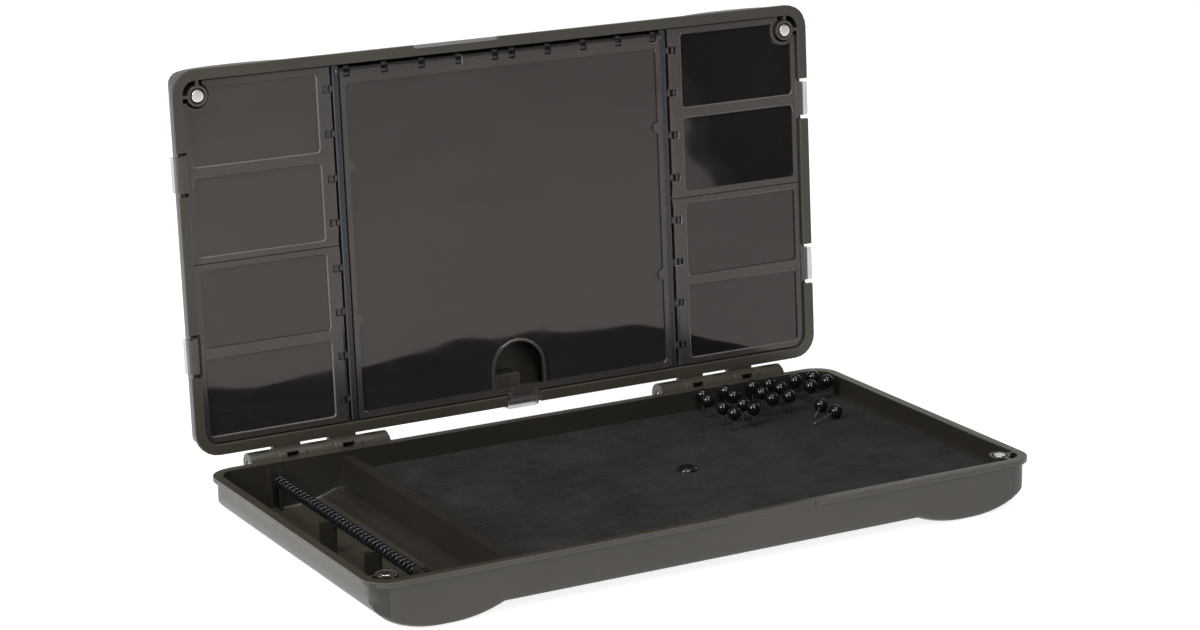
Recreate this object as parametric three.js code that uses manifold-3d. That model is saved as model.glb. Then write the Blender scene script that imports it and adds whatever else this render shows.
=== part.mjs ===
import * as THREE from 'three';
import { mergeVertices } from 'three/addons/utils/BufferGeometryUtils.js';
import Module from 'manifold-3d';

const wasm = await Module();
wasm.setup();

// A fishing rig box, opened. The base is a shallow tray with a foam board for rigs and a
// narrow compartment with a line spring. The lid holds small compartments under clear flaps.
// Lengths are in millimetres. Both halves are the same tray: in a tray's own frame x runs
// across, y runs from its first long edge to the other, and z is 0 at the rim and up.

// Clearances
const fit = 0.3;                   // between pieces that seat on or in each other
const closedGap = 0.3;             // between the two rims when the lid is down
const overrun = 1;                 // how far a cutting solid runs past what it cuts

// Both halves
const boxWidth = 360;              // across, over the flanges
const boxDepth = 191.5;            // front to back, over the flanges
const cornerRadius = 12.3;         // of the flange, seen from above
const shellHeight = 26.3;          // from the rim down to the feet of the pods
const waistHeight = 21.1;          // from the rim down to the underside between the pods
const flangeOut = 2.2;             // how far the flange stands out from the wall
const flangeHeight = 2.6;
const baseWall = 2.7;
const lidWall = 3.2;
const floorThickness = 2.2;
const podWallHeight = 8.6;         // straight part of the end wall, below the rim
const podRoundWidth = 34;          // width of the big round from the end wall to the foot
const podFootWidth = 5;            // flat strip that a pod stands on
const podRiseRadius = 67;          // of the slow curve from the foot up to the waist
const outerEdgeRound = 3.5;        // along the lower front and back edges, outside
const innerEdgeRound = 1.3;        // the same edges, inside
const podSteps = 5;                // half the facets of each of the pods' curves
const cornerSteps = 3;             // half the facets of a corner, seen from above
const smallSteps = 2;              // half the facets of a small round
const edgeSteps = 2;               // facets across a rounded edge

// Thumb cut-outs in the two front flanges, one each side of the middle
const thumbLength = 48;
const thumbOffset = 3;             // from the middle to the nearer end
const thumbLip = 0.6;              // flange that is left at the wall
const thumbRound = 1.4;

// Half-round boss inside the base's front wall
const bossRadius = 3.6;
const bossProud = 2;
const bossDrop = 1.8;              // from the rim down to its top
const bossHeight = 6;
const bossOffset = 1.8;            // from the middle

// Magnets in the front corners
const magnetInset = 13.2;          // from either flange to the magnet's centre
const magnetRadius = 3.6;
const magnetHeight = 3;
const magnetBossRadius = 5.3;
const magnetRibWidth = 1.6;
const magnetSides = 16;

// Hinges: five barrels each, on a steel pin behind the base
const hingeReach = 6.3;            // from the back flange to the pin's axis
const hingeDrop = 2.3;             // from the base's rim down to the axis
const hingeFromEnd = 25;           // from the box's end to the farther end of a hinge
const barrelLength = 15.2;
const barrelCount = 5;
const barrelRadius = 5.8;
const barrelSides = 18;
const hingePinRadius = 1.5;
const hingePinSides = 8;
const hingePinInset = 0.6;         // from the ends of the barrels
const hingeWindowWidth = 6.5;      // opening in a lid barrel, through which the pin shows
const hingeWindowHeight = 3.2;
const hingeWindowRise = 0.8;       // from the pin's axis to the opening
const hingeSlotLength = 8.2;       // slot in the top of a base barrel
const hingeSlotWidth = 3.2;
const lidOpenDegrees = 93.43;      // how far the lid opens, to its stop

// Divider in the base, and the seats of the foam board beside it
const dividerFromEnd = 74.5;       // from the box's left end to the divider's middle
const dividerWidth = 6.4;
const dividerDrop = 3;             // from the rim down to its top
const foamLeftLip = 1;             // plastic seen between the divider and the foam
const foamRightLip = 1.9;          // plastic seen between the foam and the right wall
const foamDrop = 10.6;             // from the rim down to the foam's top
const foamCornerRoom = 1.5;        // between the foam and the magnet boss

// Domed stud that holds the foam down
const studAcross = 40;             // from the middle, to the right
const studBackShare = 0.527;       // of the box's depth
const studCapRadius = 5.5;
const studCapProud = 2.3;
const studStemRadius = 3;
const studDimpleDepth = 0.9;
const studSides = 14;

// Line spring in the left compartment, its forks and its rests
const springFromEnd = 33.8;        // from the box's left end to the spring's axis
const springDrop = 7.2;            // from the rim down to the spring's axis
const springRadius = 2.3;          // of the coil, to the middle of the wire
const springWireRadius = 0.7;
const springTurns = 38;
const springStepsPerTurn = 8;
const springWireSides = 5;
const springEndBend = 1.2;         // radius of the bend into each straight end
const springEndSteps = 3;
const forkBackDepth = 3.4;          // how far the back fork stands out from its wall
const forkFrontDepth = 17;         // the same at the front
const forkFinWidth = 1.3;
const forkSlot = 4.1;              // between the two fins
const forkDrop = 3;
const restWidth = 8;               // across, under and beside the spring
const restThickness = 2.4;
const seatSides = 16;
const restDrop = 7.9;
const restShares = [0.33, 0.59];   // of the box's depth, from the front

// Flaps in the lid
const flapDrop = 2;                // from the lid's rim down to the flaps
const flapThickness = 1.8;
const windowDepth = 0.9;           // how far the clear panes lie below a flap's border
const flapBorder = 3.4;
const centreSideBorder = 2.7;      // at the centre flap's two sides
const flapBarWidth = 6;
const flapEdgeRoom = 0.7;          // between a flap and the lid's rim
const flapSplit = 0.4;             // between the upper and the lower flap
const paneCornerRadius = 1.6;
const sideFlapFromEnd = 82.5;      // from the box's end to the side flaps' axis
const flapSpacing = 6.45;          // from a side flap's axis to the centre flap's edge
const centreFlapAxis = 9;          // from the lid's front flange to the centre flap's axis
const stickRadius = 1.9;           // of the round stick along a flap's hinge edge
const neckRadius = 1.1;            // of the necks that sit in the saddles
const stickSides = 8;
const saddleLength = 3;
const saddleHalfWidth = 2.4;
const saddleTop = 1.3;             // above the axis
const saddleMouth = 0.9;           // half the width of its open top
const sideSaddleCount = 4;
const centreSaddleFirst = 4.8;     // from the middle to the first saddle of the centre flap
const centreSaddleEnd = 3.85;      // from the last saddle to the centre flap's edge
const centreSaddlesPerSide = 5;
const sideFlapDegrees = 90;
const centreFlapDegrees = 100;
const magnetCutRoom = 1.1;         // between a flap's cut corner and the magnet boss

// Walls in the lid
const partitionThickness = 2;

// Clips of the side flaps, in gaps in the lid's rim
const clipLength = 20.5;
const clipGap = 0.6;               // each side of a clip, and of the latch
const clipReach = 1;               // past the flange
const clipThickness = 1.9;
const clipHang = 4.2;              // how far the hook hangs below the flap's top
const crownDrop = 0.4;             // from the rim down to the top of a clip's round back
const crownSteps = 3;              // half the facets of that round

// Finger arch and latch of the centre flap
const archCentre = 0.5;            // from the middle, to the right
const archHalfWidth = 14;
const archTop = 33;                // from the lid's hinge-side flange
const archFoot = 9.4;
const archLip = 1.6;
const latchCentre = 1.85;          // from the middle, to the right
const latchWidth = 17.7;
const latchReach = 2;              // past the hinge-side flange
const latchThickness = 1.9;
const latchHang = 5.4;
const latchBlockCentre = 0.6;      // of the raised block below the arch
const latchBlockWidth = 11;
const latchBlockRound = 1.8;
const rampInset = 1.9;             // from the arch's left side to the ramp
const rampWidth = 13.9;            // block in the lid, seen through the arch
const rampHeight = 16;             // from the hinge-side flange to its end
const rampDrop = 5.4;
const beadRadius = 3;              // half-round beads on the centre flap's side borders
const beadShares = [0.296, 0.703]; // of the box's depth, from the hinge side

// Pins with ball heads
const pinBallRadius = 3.6;
const pinNeedleRadius = 0.45;
const pinLength = 16.7;            // from the ball's centre to the tip
const pinTipLength = 2;
const pinRise = 9;                 // from the foam to the centre of a standing pin's ball
const pinHoleRadius = 0.8;
const pinSides = 8;
const pinBallSteps = 6;
const pinLift = 8;                 // travel that takes a pin out of the foam

// Places of the balls, in ball diameters from the foam's right edge and from its back edge
const standingPinShares = [
  [10.44, 0.60], [10.82, 1.99], [8.48, 0.60], [10.86, 4.17], [8.62, 1.98], [10.89, 5.73],
  [9.15, 4.15], [6.14, 0.60], [9.07, 5.45], [6.42, 2.37], [4.78, 0.72], [6.63, 4.08],
  [4.63, 2.04], [5.23, 4.15], [2.68, 1.03], [0.99, 0.78], [2.47, 2.80], [0.70, 2.26],
];
const loosePins = [
  { shares: [3.15, 5.23], turnDegrees: 223 },
  { shares: [3.12, 7.14], turnDegrees: 193 },
];

// Sizes that follow from those above
const halfWidth = boxWidth / 2;
const hingeStart = halfWidth - hingeFromEnd - barrelCount * barrelLength;
const dividerCentre = halfWidth - dividerFromEnd;
const springAcross = halfWidth - springFromEnd;
const sideFlapAxis = halfWidth - sideFlapFromEnd;
const centreFlapHalf = sideFlapAxis - flapSpacing;
const centreSaddlePitch =
  (centreFlapHalf - centreSaddleEnd - centreSaddleFirst) / (centreSaddlesPerSide - 1);
const wallOuterX = halfWidth - flangeOut;
const baseInset = flangeOut + baseWall;
const lidInset = flangeOut + lidWall;
const floorZ = floorThickness - waistHeight;
const foamTop = -foamDrop;
const foamBottom = floorZ + fit;
const foamLeft = -dividerCentre + dividerWidth / 2 + foamLeftLip + fit;
const foamRight = halfWidth - baseInset - foamRightLip - fit;
const foamBack = boxDepth - baseInset - fit;
const springOuterRadius = springRadius + springWireRadius;
const hingeY = boxDepth + hingeReach;
const flapTopZ = -flapDrop;
const flapUnderZ = flapTopZ - flapThickness;
const paneZ = flapTopZ - windowDepth;
const flapAxisZ = flapTopZ - stickRadius;
const partitionTopZ = flapUnderZ - fit;
const rimGapDepth = fit - flapUnderZ;
const hingeWallTopZ = flapAxisZ - stickRadius - fit;
const plateStart = Math.hypot(saddleHalfWidth, saddleTop) + fit;
const rimInnerX = halfWidth - lidInset;
const flapOuterX = rimInnerX - fit;
const flapLowY = lidInset + flapEdgeRoom;
const flapHighY = boxDepth - flapLowY;
const flapMiddleY = boxDepth / 2;
const centreAxisY = boxDepth - centreFlapAxis;
const magnetX = halfWidth - magnetInset;

// Materials
const plastic = (name, color, roughness) =>
  new THREE.MeshStandardMaterial({ name, color, roughness, metalness: 0 });
const oliveShell = plastic('olive grey moulded plastic', 0x4a4640, 0.42);
const darkShell = plastic('dark olive moulded plastic', 0x2e2b27, 0.5);
const smokyClear = plastic('smoky clear plastic', 0x4b4643, 0.12);
const blackFoam = plastic('dark grey closed-cell foam', 0x2d2d2c, 0.95);
const glossBlack = plastic('gloss black plastic', 0x08080b, 0.08);
const blackWire = plastic('black coated wire', 0x14141c, 0.35);
const steel = new THREE.MeshStandardMaterial(
  { name: 'bright steel', color: 0xb9b7b2, roughness: 0.25, metalness: 1 });
const nickel = new THREE.MeshStandardMaterial(
  { name: 'nickel plate', color: 0xd9d3cb, roughness: 0.22, metalness: 1 });

// Solids from geometries, and geometries from solids

function solidOf(geometry) {
  const bare = geometry.clone();
  bare.deleteAttribute('normal');
  bare.deleteAttribute('uv');
  const merged = mergeVertices(bare);
  const index = merged.index.array;
  const triVerts = [];
  for (let i = 0; i < index.length; i += 3) {
    const [a, b, c] = [index[i], index[i + 1], index[i + 2]];
    if (a !== b && b !== c && c !== a) triVerts.push(a, b, c);
  }
  return new wasm.Manifold(new wasm.Mesh({
    numProp: 3,
    vertProperties: new Float32Array(merged.attributes.position.array),
    triVerts: new Uint32Array(triVerts),
  }));
}

function geometryOf(solid) {
  const mesh = solid.getMesh();
  const geometry = new THREE.BufferGeometry();
  geometry.setAttribute('position', new THREE.BufferAttribute(mesh.vertProperties, 3));
  geometry.setIndex(new THREE.BufferAttribute(mesh.triVerts, 1));
  const faceted = geometry.toNonIndexed();
  faceted.computeVertexNormals();
  return faceted;
}

function union(solids) {
  return solids.reduce((whole, solid) => whole.add(solid));
}

function meshOf(name, solid, material) {
  const mesh = new THREE.Mesh(geometryOf(solid), material);
  mesh.name = name;
  return mesh;
}

function middleOf([from, to]) {
  return (from + to) / 2;
}

// Simple forms

function block(x, y, z) {
  const [x0, x1] = x;
  const [y0, y1] = y;
  const [z0, z1] = z;
  const geometry = new THREE.BoxGeometry(x1 - x0, y1 - y0, z1 - z0);
  geometry.translate((x0 + x1) / 2, (y0 + y1) / 2, (z0 + z1) / 2);
  return solidOf(geometry);
}

function upright(radius, sides, x, y, z) {
  const [z0, z1] = z;
  const geometry = new THREE.CylinderGeometry(radius, radius, z1 - z0, sides);
  geometry.rotateX(Math.PI / 2);
  geometry.translate(x, y, (z0 + z1) / 2);
  return solidOf(geometry);
}

function rodAcross(radius, sides, x, y, z) {
  const [x0, x1] = x;
  const geometry = new THREE.CylinderGeometry(radius, radius, x1 - x0, sides);
  geometry.rotateZ(Math.PI / 2);
  geometry.translate((x0 + x1) / 2, y, z);
  return solidOf(geometry);
}

function rodAlong(radius, sides, x, y, z) {
  const [y0, y1] = y;
  const geometry = new THREE.CylinderGeometry(radius, radius, y1 - y0, sides);
  geometry.translate(x, (y0 + y1) / 2, z);
  return solidOf(geometry);
}

function prism(shape, z, curveSegments = smallSteps) {
  const [z0, z1] = z;
  const geometry = new THREE.ExtrudeGeometry(
    shape, { depth: z1 - z0, bevelEnabled: false, curveSegments });
  geometry.translate(0, 0, z0);
  return solidOf(geometry);
}

// A shape drawn in x and z, drawn out along y, with rounded ends if round is more than zero
function barAlongY(shape, y, round = 0, curveSegments = smallSteps) {
  const [y0, y1] = y;
  const geometry = new THREE.ExtrudeGeometry(shape, {
    depth: y1 - y0 - 2 * round,
    bevelEnabled: round > 0,
    bevelThickness: round,
    bevelSize: round,
    bevelOffset: -round,
    bevelSegments: edgeSteps,
    curveSegments,
  });
  geometry.rotateX(Math.PI / 2);
  geometry.translate(0, y1 - round, 0);
  return solidOf(geometry);
}

// A shape drawn in y and z, drawn out along x
function barAlongX(shape, x, curveSegments = smallSteps) {
  const [x0, x1] = x;
  const geometry = new THREE.ExtrudeGeometry(
    shape, { depth: x1 - x0, bevelEnabled: false, curveSegments });
  const turn = new THREE.Matrix4().makeBasis(
    new THREE.Vector3(0, 1, 0), new THREE.Vector3(0, 0, 1), new THREE.Vector3(1, 0, 0));
  geometry.applyMatrix4(turn);
  geometry.translate(x0, 0, 0);
  return solidOf(geometry);
}

function roundedRectangle(x, y, radius) {
  const [x0, x1] = x;
  const [y0, y1] = y;
  const shape = new THREE.Shape();
  shape.moveTo(x0 + radius, y0);
  shape.absarc(x1 - radius, y0 + radius, radius, 1.5 * Math.PI, 2 * Math.PI);
  shape.absarc(x1 - radius, y1 - radius, radius, 0, 0.5 * Math.PI);
  shape.absarc(x0 + radius, y1 - radius, radius, 0.5 * Math.PI, Math.PI);
  shape.absarc(x0 + radius, y0 + radius, radius, Math.PI, 1.5 * Math.PI);
  return shape;
}

// The tray that both halves are made from

function trayProfile(sideInset, floorInset) {
  const outerX = wallOuterX - sideInset;
  const roundX = podRoundWidth - sideInset;
  const roundZ = shellHeight - podWallHeight - floorInset;
  const footOuter = wallOuterX - podRoundWidth;
  const footInner = footOuter - podFootWidth;
  const bottom = floorInset - shellHeight;
  const riseRadius = podRiseRadius - floorInset;
  const riseAngle = Math.acos(1 - (shellHeight - waistHeight) / riseRadius);
  const riseCentre = bottom + riseRadius;
  const down = 1.5 * Math.PI;
  const shape = new THREE.Shape();
  const above = outerEdgeRound + overrun;
  shape.moveTo(-outerX, above);
  shape.lineTo(-outerX, -podWallHeight);
  shape.absellipse(-footOuter, -podWallHeight, roundX, roundZ, Math.PI, down);
  shape.absarc(-footInner, riseCentre, riseRadius, down, down + riseAngle);
  shape.absarc(footInner, riseCentre, riseRadius, down - riseAngle, down);
  shape.absellipse(footOuter, -podWallHeight, roundX, roundZ, down, 2 * Math.PI);
  shape.lineTo(outerX, above);
  return shape;
}

function planSolid(inset, z) {
  const outline = roundedRectangle(
    [inset - halfWidth, halfWidth - inset], [inset, boxDepth - inset], cornerRadius - inset);
  return prism(outline, z, cornerSteps);
}

// The tray's whole outer body, its hollow, and the shell between them
function tray(wall) {
  const inset = flangeOut + wall;
  const body = barAlongY(
    trayProfile(0, 0), [flangeOut, boxDepth - flangeOut], outerEdgeRound, podSteps)
    .intersect(planSolid(flangeOut, [-shellHeight - overrun, 0]));
  const hollow = barAlongY(
    trayProfile(wall, floorThickness), [inset, boxDepth - inset], innerEdgeRound, podSteps)
    .intersect(planSolid(inset, [-shellHeight, overrun]));
  const flange = planSolid(0, [-flangeHeight, 0]);
  return { body, hollow, shell: body.add(flange).subtract(hollow) };
}

// A tray's hollow, a clearance smaller all round, for what stands or lies in it
function trayRoom(wall) {
  const inset = flangeOut + wall + fit;
  return barAlongY(trayProfile(wall + fit, floorThickness + fit),
    [inset, boxDepth - inset], innerEdgeRound, podSteps)
    .intersect(planSolid(inset, [-shellHeight, 0]));
}

// A cut in a flange's edge for a thumb: the edge is at y = 0, and the cut goes towards +y
function thumbCut(fromX) {
  const outline = roundedRectangle(
    [fromX, fromX + thumbLength], [-2 * overrun - thumbRound, flangeOut - thumbLip], thumbRound);
  return prism(outline, [-flangeHeight - overrun, overrun]);
}

// A magnet's boss with two ribs to the walls, in the corner beside the edge at edgeY
function magnetSeat(side, edgeY, inwards) {
  const centreY = edgeY + inwards * magnetInset;
  const centreX = side * magnetX;
  const depth = [-shellHeight, 0];
  const ribHalf = magnetRibWidth / 2;
  const ordered = (a, b) => [Math.min(a, b), Math.max(a, b)];
  return {
    solid: union([
      upright(magnetBossRadius, magnetSides, centreX, centreY, depth),
      block(ordered(centreX, side * wallOuterX), [centreY - ribHalf, centreY + ribHalf], depth),
      block([centreX - ribHalf, centreX + ribHalf], ordered(centreY, edgeY), depth),
    ]),
    pocket: upright(
      magnetRadius + fit, magnetSides, centreX, centreY, [-magnetHeight - fit, overrun]),
    magnet: upright(magnetRadius, magnetSides, centreX, centreY, [-magnetHeight, 0]),
  };
}

// Hinges: barrels 0, 2 and 4 are the base's, 1 and 3 are the lid's

function barrelSpan(side, number) {
  const near = hingeStart + number * barrelLength + fit / 2;
  const far = near + barrelLength - fit;
  return side > 0 ? [near, far] : [-far, -near];
}

function hingeBore(side, y, z) {
  const near = hingeStart - overrun;
  const far = hingeStart + barrelCount * barrelLength + overrun;
  const span = side > 0 ? [near, far] : [-far, -near];
  return rodAcross(hingePinRadius + fit, hingePinSides, span, y, z);
}

function baseBarrels(side) {
  const solids = [];
  const slots = [];
  for (let number = 0; number < barrelCount; number += 2) {
    const span = barrelSpan(side, number);
    const middle = middleOf(span);
    solids.push(rodAcross(barrelRadius, barrelSides, span, hingeY, -hingeDrop));
    solids.push(block(
      span, [boxDepth - flangeOut - baseWall / 2, hingeY], [-hingeDrop - barrelRadius, 0]));
    slots.push(block(
      [middle - hingeSlotLength / 2, middle + hingeSlotLength / 2],
      [hingeY - hingeSlotWidth / 2, hingeY + hingeSlotWidth / 2],
      [-hingeDrop, -hingeDrop + barrelRadius + overrun]));
  }
  return { solids, slots };
}

function lidBarrels(side) {
  const axisY = -hingeReach;
  const axisZ = hingeDrop + closedGap;
  const solids = [];
  const windows = [];
  for (let number = 1; number < barrelCount; number += 2) {
    const span = barrelSpan(side, number);
    const middle = middleOf(span);
    solids.push(rodAcross(barrelRadius, barrelSides, span, axisY, axisZ));
    solids.push(block(
      span, [axisY, flangeOut + lidWall / 2], [axisZ - barrelRadius, -fit]));
    windows.push(block(
      [middle - hingeWindowWidth / 2, middle + hingeWindowWidth / 2],
      [axisY + hingeWindowRise, axisY + hingeWindowRise + hingeWindowHeight],
      [axisZ, axisZ + barrelRadius + overrun]));
  }
  return { solids, windows };
}

// Base

const baseTray = tray(baseWall);

function springFork(y) {
  const inner = forkSlot / 2;
  const outer = inner + forkFinWidth;
  const depth = [-shellHeight, -forkDrop];
  return [
    block([-springAcross - outer, -springAcross - inner], y, depth),
    block([-springAcross + inner, -springAcross + outer], y, depth),
  ];
}

// A plate beside and under the spring, hollowed to the spring's round
function springRest(share) {
  const y = share * boxDepth;
  const span = [y - restThickness / 2, y + restThickness / 2];
  // the seat's flats, not its corners, clear the spring
  const seatRadius = (springOuterRadius + fit) / Math.cos(Math.PI / seatSides);
  return block([-springAcross - restWidth, -springAcross], span, [-shellHeight, -restDrop])
    .subtract(rodAlong(seatRadius, seatSides, -springAcross,
      [span[0] - overrun, span[1] + overrun], -springDrop));
}

function makeBaseShell() {
  const innerRight = halfWidth - baseInset;
  const across = [flangeOut + baseWall / 2, boxDepth - flangeOut - baseWall / 2];
  const dividerLeft = -dividerCentre - dividerWidth / 2;
  const dividerRight = -dividerCentre + dividerWidth / 2;
  const seats = [-1, 1].map((side) => magnetSeat(side, 0, 1));
  const features = union([
    block([dividerLeft, dividerRight], across, [-waistHeight, -dividerDrop]),
    block([dividerRight, dividerRight + foamLeftLip], across, [-waistHeight, foamTop]),
    block([innerRight - foamRightLip, wallOuterX], across, [-shellHeight, foamTop]),
    upright(bossRadius, magnetSides, bossOffset, baseInset + bossProud - bossRadius,
      [-bossDrop - bossHeight, -bossDrop]),
    ...springFork([flangeOut, baseInset + forkFrontDepth]),
    ...springFork([boxDepth - baseInset - forkBackDepth, boxDepth - flangeOut]),
    ...restShares.map(springRest),
    ...seats.map((seat) => seat.solid),
  ]);
  let shell = baseTray.shell.add(features.intersect(baseTray.body));
  for (const side of [-1, 1]) {
    const barrels = baseBarrels(side);
    shell = union([shell, ...barrels.solids]);
    shell = shell.subtract(hingeBore(side, hingeY, -hingeDrop));
    shell = shell.subtract(union(barrels.slots));
  }
  for (const seat of seats) shell = shell.subtract(seat.pocket);
  shell = shell.subtract(thumbCut(thumbOffset));
  return { shell, seats };
}

const baseParts = makeBaseShell();

// Foam board, with a hole for each pin, for the stud, and a corner cut for the magnet boss
function makeFoam(pinPlaces) {
  const seatX = magnetX - magnetBossRadius - foamCornerRoom;
  const seatY = magnetInset + magnetBossRadius + foamCornerRoom;
  const bossFront = baseInset + bossProud + fit;
  let foam = block([foamLeft, foamRight], [baseInset + fit, foamBack], [foamBottom, foamTop])
    .intersect(trayRoom(baseWall));
  foam = foam.subtract(block([seatX, halfWidth], [0, seatY], [-shellHeight, 0]));
  if (-bossDrop - bossHeight < foamTop) {
    const bossSide = bossRadius + fit;
    foam = foam.subtract(block(
      [bossOffset - bossSide, bossOffset + bossSide], [0, bossFront], [-shellHeight, 0]));
  }
  const studY = studBackShare * boxDepth;
  foam = foam.subtract(upright(
    studStemRadius + fit, studSides, studAcross, studY, [-shellHeight, 0]));
  foam = foam.subtract(upright(
    studCapRadius + fit, studSides, studAcross, studY, [foamTop - studDimpleDepth, 0]));
  for (const [x, y] of pinPlaces) {
    foam = foam.subtract(upright(pinHoleRadius, pinSides, x, y, [-shellHeight, 0]));
  }
  return foam;
}

function makeStud() {
  const under = foamTop - studDimpleDepth + fit;
  const capHeight = foamTop + studCapProud - under;
  const profile = new THREE.Path();
  profile.moveTo(0, foamBottom);
  profile.lineTo(studStemRadius, foamBottom);
  profile.lineTo(studStemRadius, under);
  profile.lineTo(studCapRadius, under);
  profile.absellipse(0, under, studCapRadius, capHeight, 0, 0.5 * Math.PI);
  const geometry = new THREE.LatheGeometry(profile.getPoints(smallSteps), studSides);
  geometry.rotateX(Math.PI / 2);
  geometry.translate(studAcross, studBackShare * boxDepth, 0);
  return solidOf(geometry);
}

// Line spring: one helix of wire whose two ends turn along the axis and meet the forks

function springPath() {
  const front = baseInset + forkFrontDepth + fit;
  const back = boxDepth - baseInset - forkBackDepth - fit;
  const straight = 2 * springWireRadius;
  const start = front + straight + springEndBend;
  const end = back - straight - springEndBend;
  // the last bend carries the wire sideways, so the helix ends short of the fin's middle
  const early = Math.atan2(springEndBend, springRadius);
  const sweep = springTurns * 2 * Math.PI - 2 * early;
  const steps = springTurns * springStepsPerTurn;
  const points = [];
  for (let i = 0; i <= steps; i += 1) {
    const share = i / steps;
    const angle = early + sweep * share;
    points.push(new THREE.Vector3(
      springRadius * Math.cos(angle), start + (end - start) * share,
      springRadius * Math.sin(angle)));
  }
  const turnOut = (angle, y, direction) => {
    const rim = new THREE.Vector3(
      springRadius * Math.cos(angle), y, springRadius * Math.sin(angle));
    const along = new THREE.Vector3(
      -direction * Math.sin(angle), 0, direction * Math.cos(angle));
    const axis = new THREE.Vector3(0, direction, 0);
    const bend = [];
    for (let i = 1; i <= springEndSteps; i += 1) {
      const turn = (i / springEndSteps) * 0.5 * Math.PI;
      bend.push(rim.clone()
        .addScaledVector(along, springEndBend * Math.sin(turn))
        .addScaledVector(axis, springEndBend * (1 - Math.cos(turn))));
    }
    bend.push(bend[bend.length - 1].clone().addScaledVector(axis, straight));
    return bend;
  };
  const head = turnOut(early, start, -1).reverse();
  const tail = turnOut(early + sweep, end, 1);
  return [...head, ...points, ...tail];
}

// A tube of few sides along a path, closed at both ends
function wireTube(path, radius, sides) {
  const positions = [];
  const index = [];
  const tangents = path.map((point, i) => {
    const before = path[Math.max(i - 1, 0)];
    const after = path[Math.min(i + 1, path.length - 1)];
    return after.clone().sub(before).normalize();
  });
  let normal = new THREE.Vector3(1, 0, 0);
  path.forEach((point, i) => {
    normal.addScaledVector(tangents[i], -normal.dot(tangents[i])).normalize();
    const other = tangents[i].clone().cross(normal);
    for (let k = 0; k < sides; k += 1) {
      const angle = (k / sides) * 2 * Math.PI;
      const corner = point.clone()
        .addScaledVector(normal, radius * Math.cos(angle))
        .addScaledVector(other, radius * Math.sin(angle));
      positions.push(corner.x, corner.y, corner.z);
    }
  });
  for (let i = 0; i + 1 < path.length; i += 1) {
    for (let k = 0; k < sides; k += 1) {
      const a = i * sides + k;
      const b = i * sides + (k + 1) % sides;
      index.push(a, b, b + sides, a, b + sides, a + sides);
    }
  }
  const last = (path.length - 1) * sides;
  for (let k = 1; k + 1 < sides; k += 1) {
    index.push(0, k + 1, k, last, last + k, last + k + 1);
  }
  const geometry = new THREE.BufferGeometry();
  geometry.setAttribute('position', new THREE.Float32BufferAttribute(positions, 3));
  geometry.setIndex(index);
  return geometry;
}

// The least distance between the wire's surfaces, on points more than half a turn apart
function leastSelfGap(path) {
  let least = Infinity;
  for (let i = 0; i < path.length; i += 1) {
    for (let k = i + springStepsPerTurn / 2; k < path.length; k += 1) {
      least = Math.min(least, path[i].distanceTo(path[k]));
    }
  }
  return least - 2 * springWireRadius;
}

function makeSpring() {
  const path = springPath();
  console.log('line spring, least gap to itself:', leastSelfGap(path).toFixed(2), 'mm');
  const geometry = wireTube(path, springWireRadius, springWireSides);
  geometry.translate(-springAcross, 0, -springDrop);
  return solidOf(geometry);
}

// Pins

function pinGeometry() {
  const needleTop = -Math.sqrt(pinBallRadius ** 2 - pinNeedleRadius ** 2);
  const from = Math.atan2(needleTop, pinNeedleRadius);
  const profile = [
    new THREE.Vector2(0, -pinLength),
    new THREE.Vector2(pinNeedleRadius, pinTipLength - pinLength),
  ];
  for (let i = 0; i < pinBallSteps; i += 1) {
    const angle = from + (i / pinBallSteps) * (0.5 * Math.PI - from);
    profile.push(new THREE.Vector2(
      pinBallRadius * Math.cos(angle), pinBallRadius * Math.sin(angle)));
  }
  profile.push(new THREE.Vector2(0, pinBallRadius));
  const geometry = new THREE.LatheGeometry(profile, pinSides);
  geometry.rotateX(Math.PI / 2);
  return geometry;
}

function pinPlace([fromRight, fromBack]) {
  return [
    foamRight - fromRight * 2 * pinBallRadius,
    foamBack - fromBack * 2 * pinBallRadius,
  ];
}

function makePin(name, x, y, z) {
  const pin = meshOf(name, solidOf(pinGeometry()), glossBlack);
  pin.position.set(x, y, z);
  return pin;
}

// Lid, in its own tray frame: y is 0 at the hinge-side flange and z is up out of the tray

const lidTray = tray(lidWall);

function sideFlapSpan(level) {
  return level === 'lower'
    ? [flapLowY, flapMiddleY - flapSplit / 2]
    : [flapMiddleY + flapSplit / 2, flapHighY];
}

function makeLidShell() {
  const seats = [-1, 1].map((side) => magnetSeat(side, boxDepth, -1));
  const rampLeft = archCentre - archHalfWidth + rampInset;
  const features = union([
    ...seats.map((seat) => seat.solid),
    block([rampLeft, rampLeft + rampWidth], [flangeOut, rampHeight], [-shellHeight, -rampDrop]),
  ]);
  let shell = lidTray.shell.add(features.intersect(lidTray.body));
  for (const side of [-1, 1]) {
    const barrels = lidBarrels(side);
    shell = union([shell, ...barrels.solids]);
    shell = shell.subtract(hingeBore(side, -hingeReach, hingeDrop + closedGap));
    shell = shell.subtract(union(barrels.windows));
    for (const level of ['lower', 'upper']) {
      const y = middleOf(sideFlapSpan(level));
      const half = clipLength / 2 + clipGap;
      const span = side > 0
        ? [rimInnerX - overrun, halfWidth + overrun] : [-halfWidth - overrun, overrun - rimInnerX];
      shell = shell.subtract(block(span, [y - half, y + half], [-rimGapDepth, overrun]));
    }
  }
  for (const seat of seats) shell = shell.subtract(seat.pocket);
  const latchHalf = latchWidth / 2 + clipGap;
  shell = shell.subtract(block(
    [latchCentre - latchHalf, latchCentre + latchHalf], [-overrun, lidInset + overrun],
    [-rimGapDepth, overrun]));
  const cut = new THREE.Matrix4().makeRotationZ(Math.PI).setPosition(0, boxDepth, 0);
  shell = shell.subtract(thumbCut(thumbOffset).transform(cut.elements));
  return { shell, seats };
}

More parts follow.
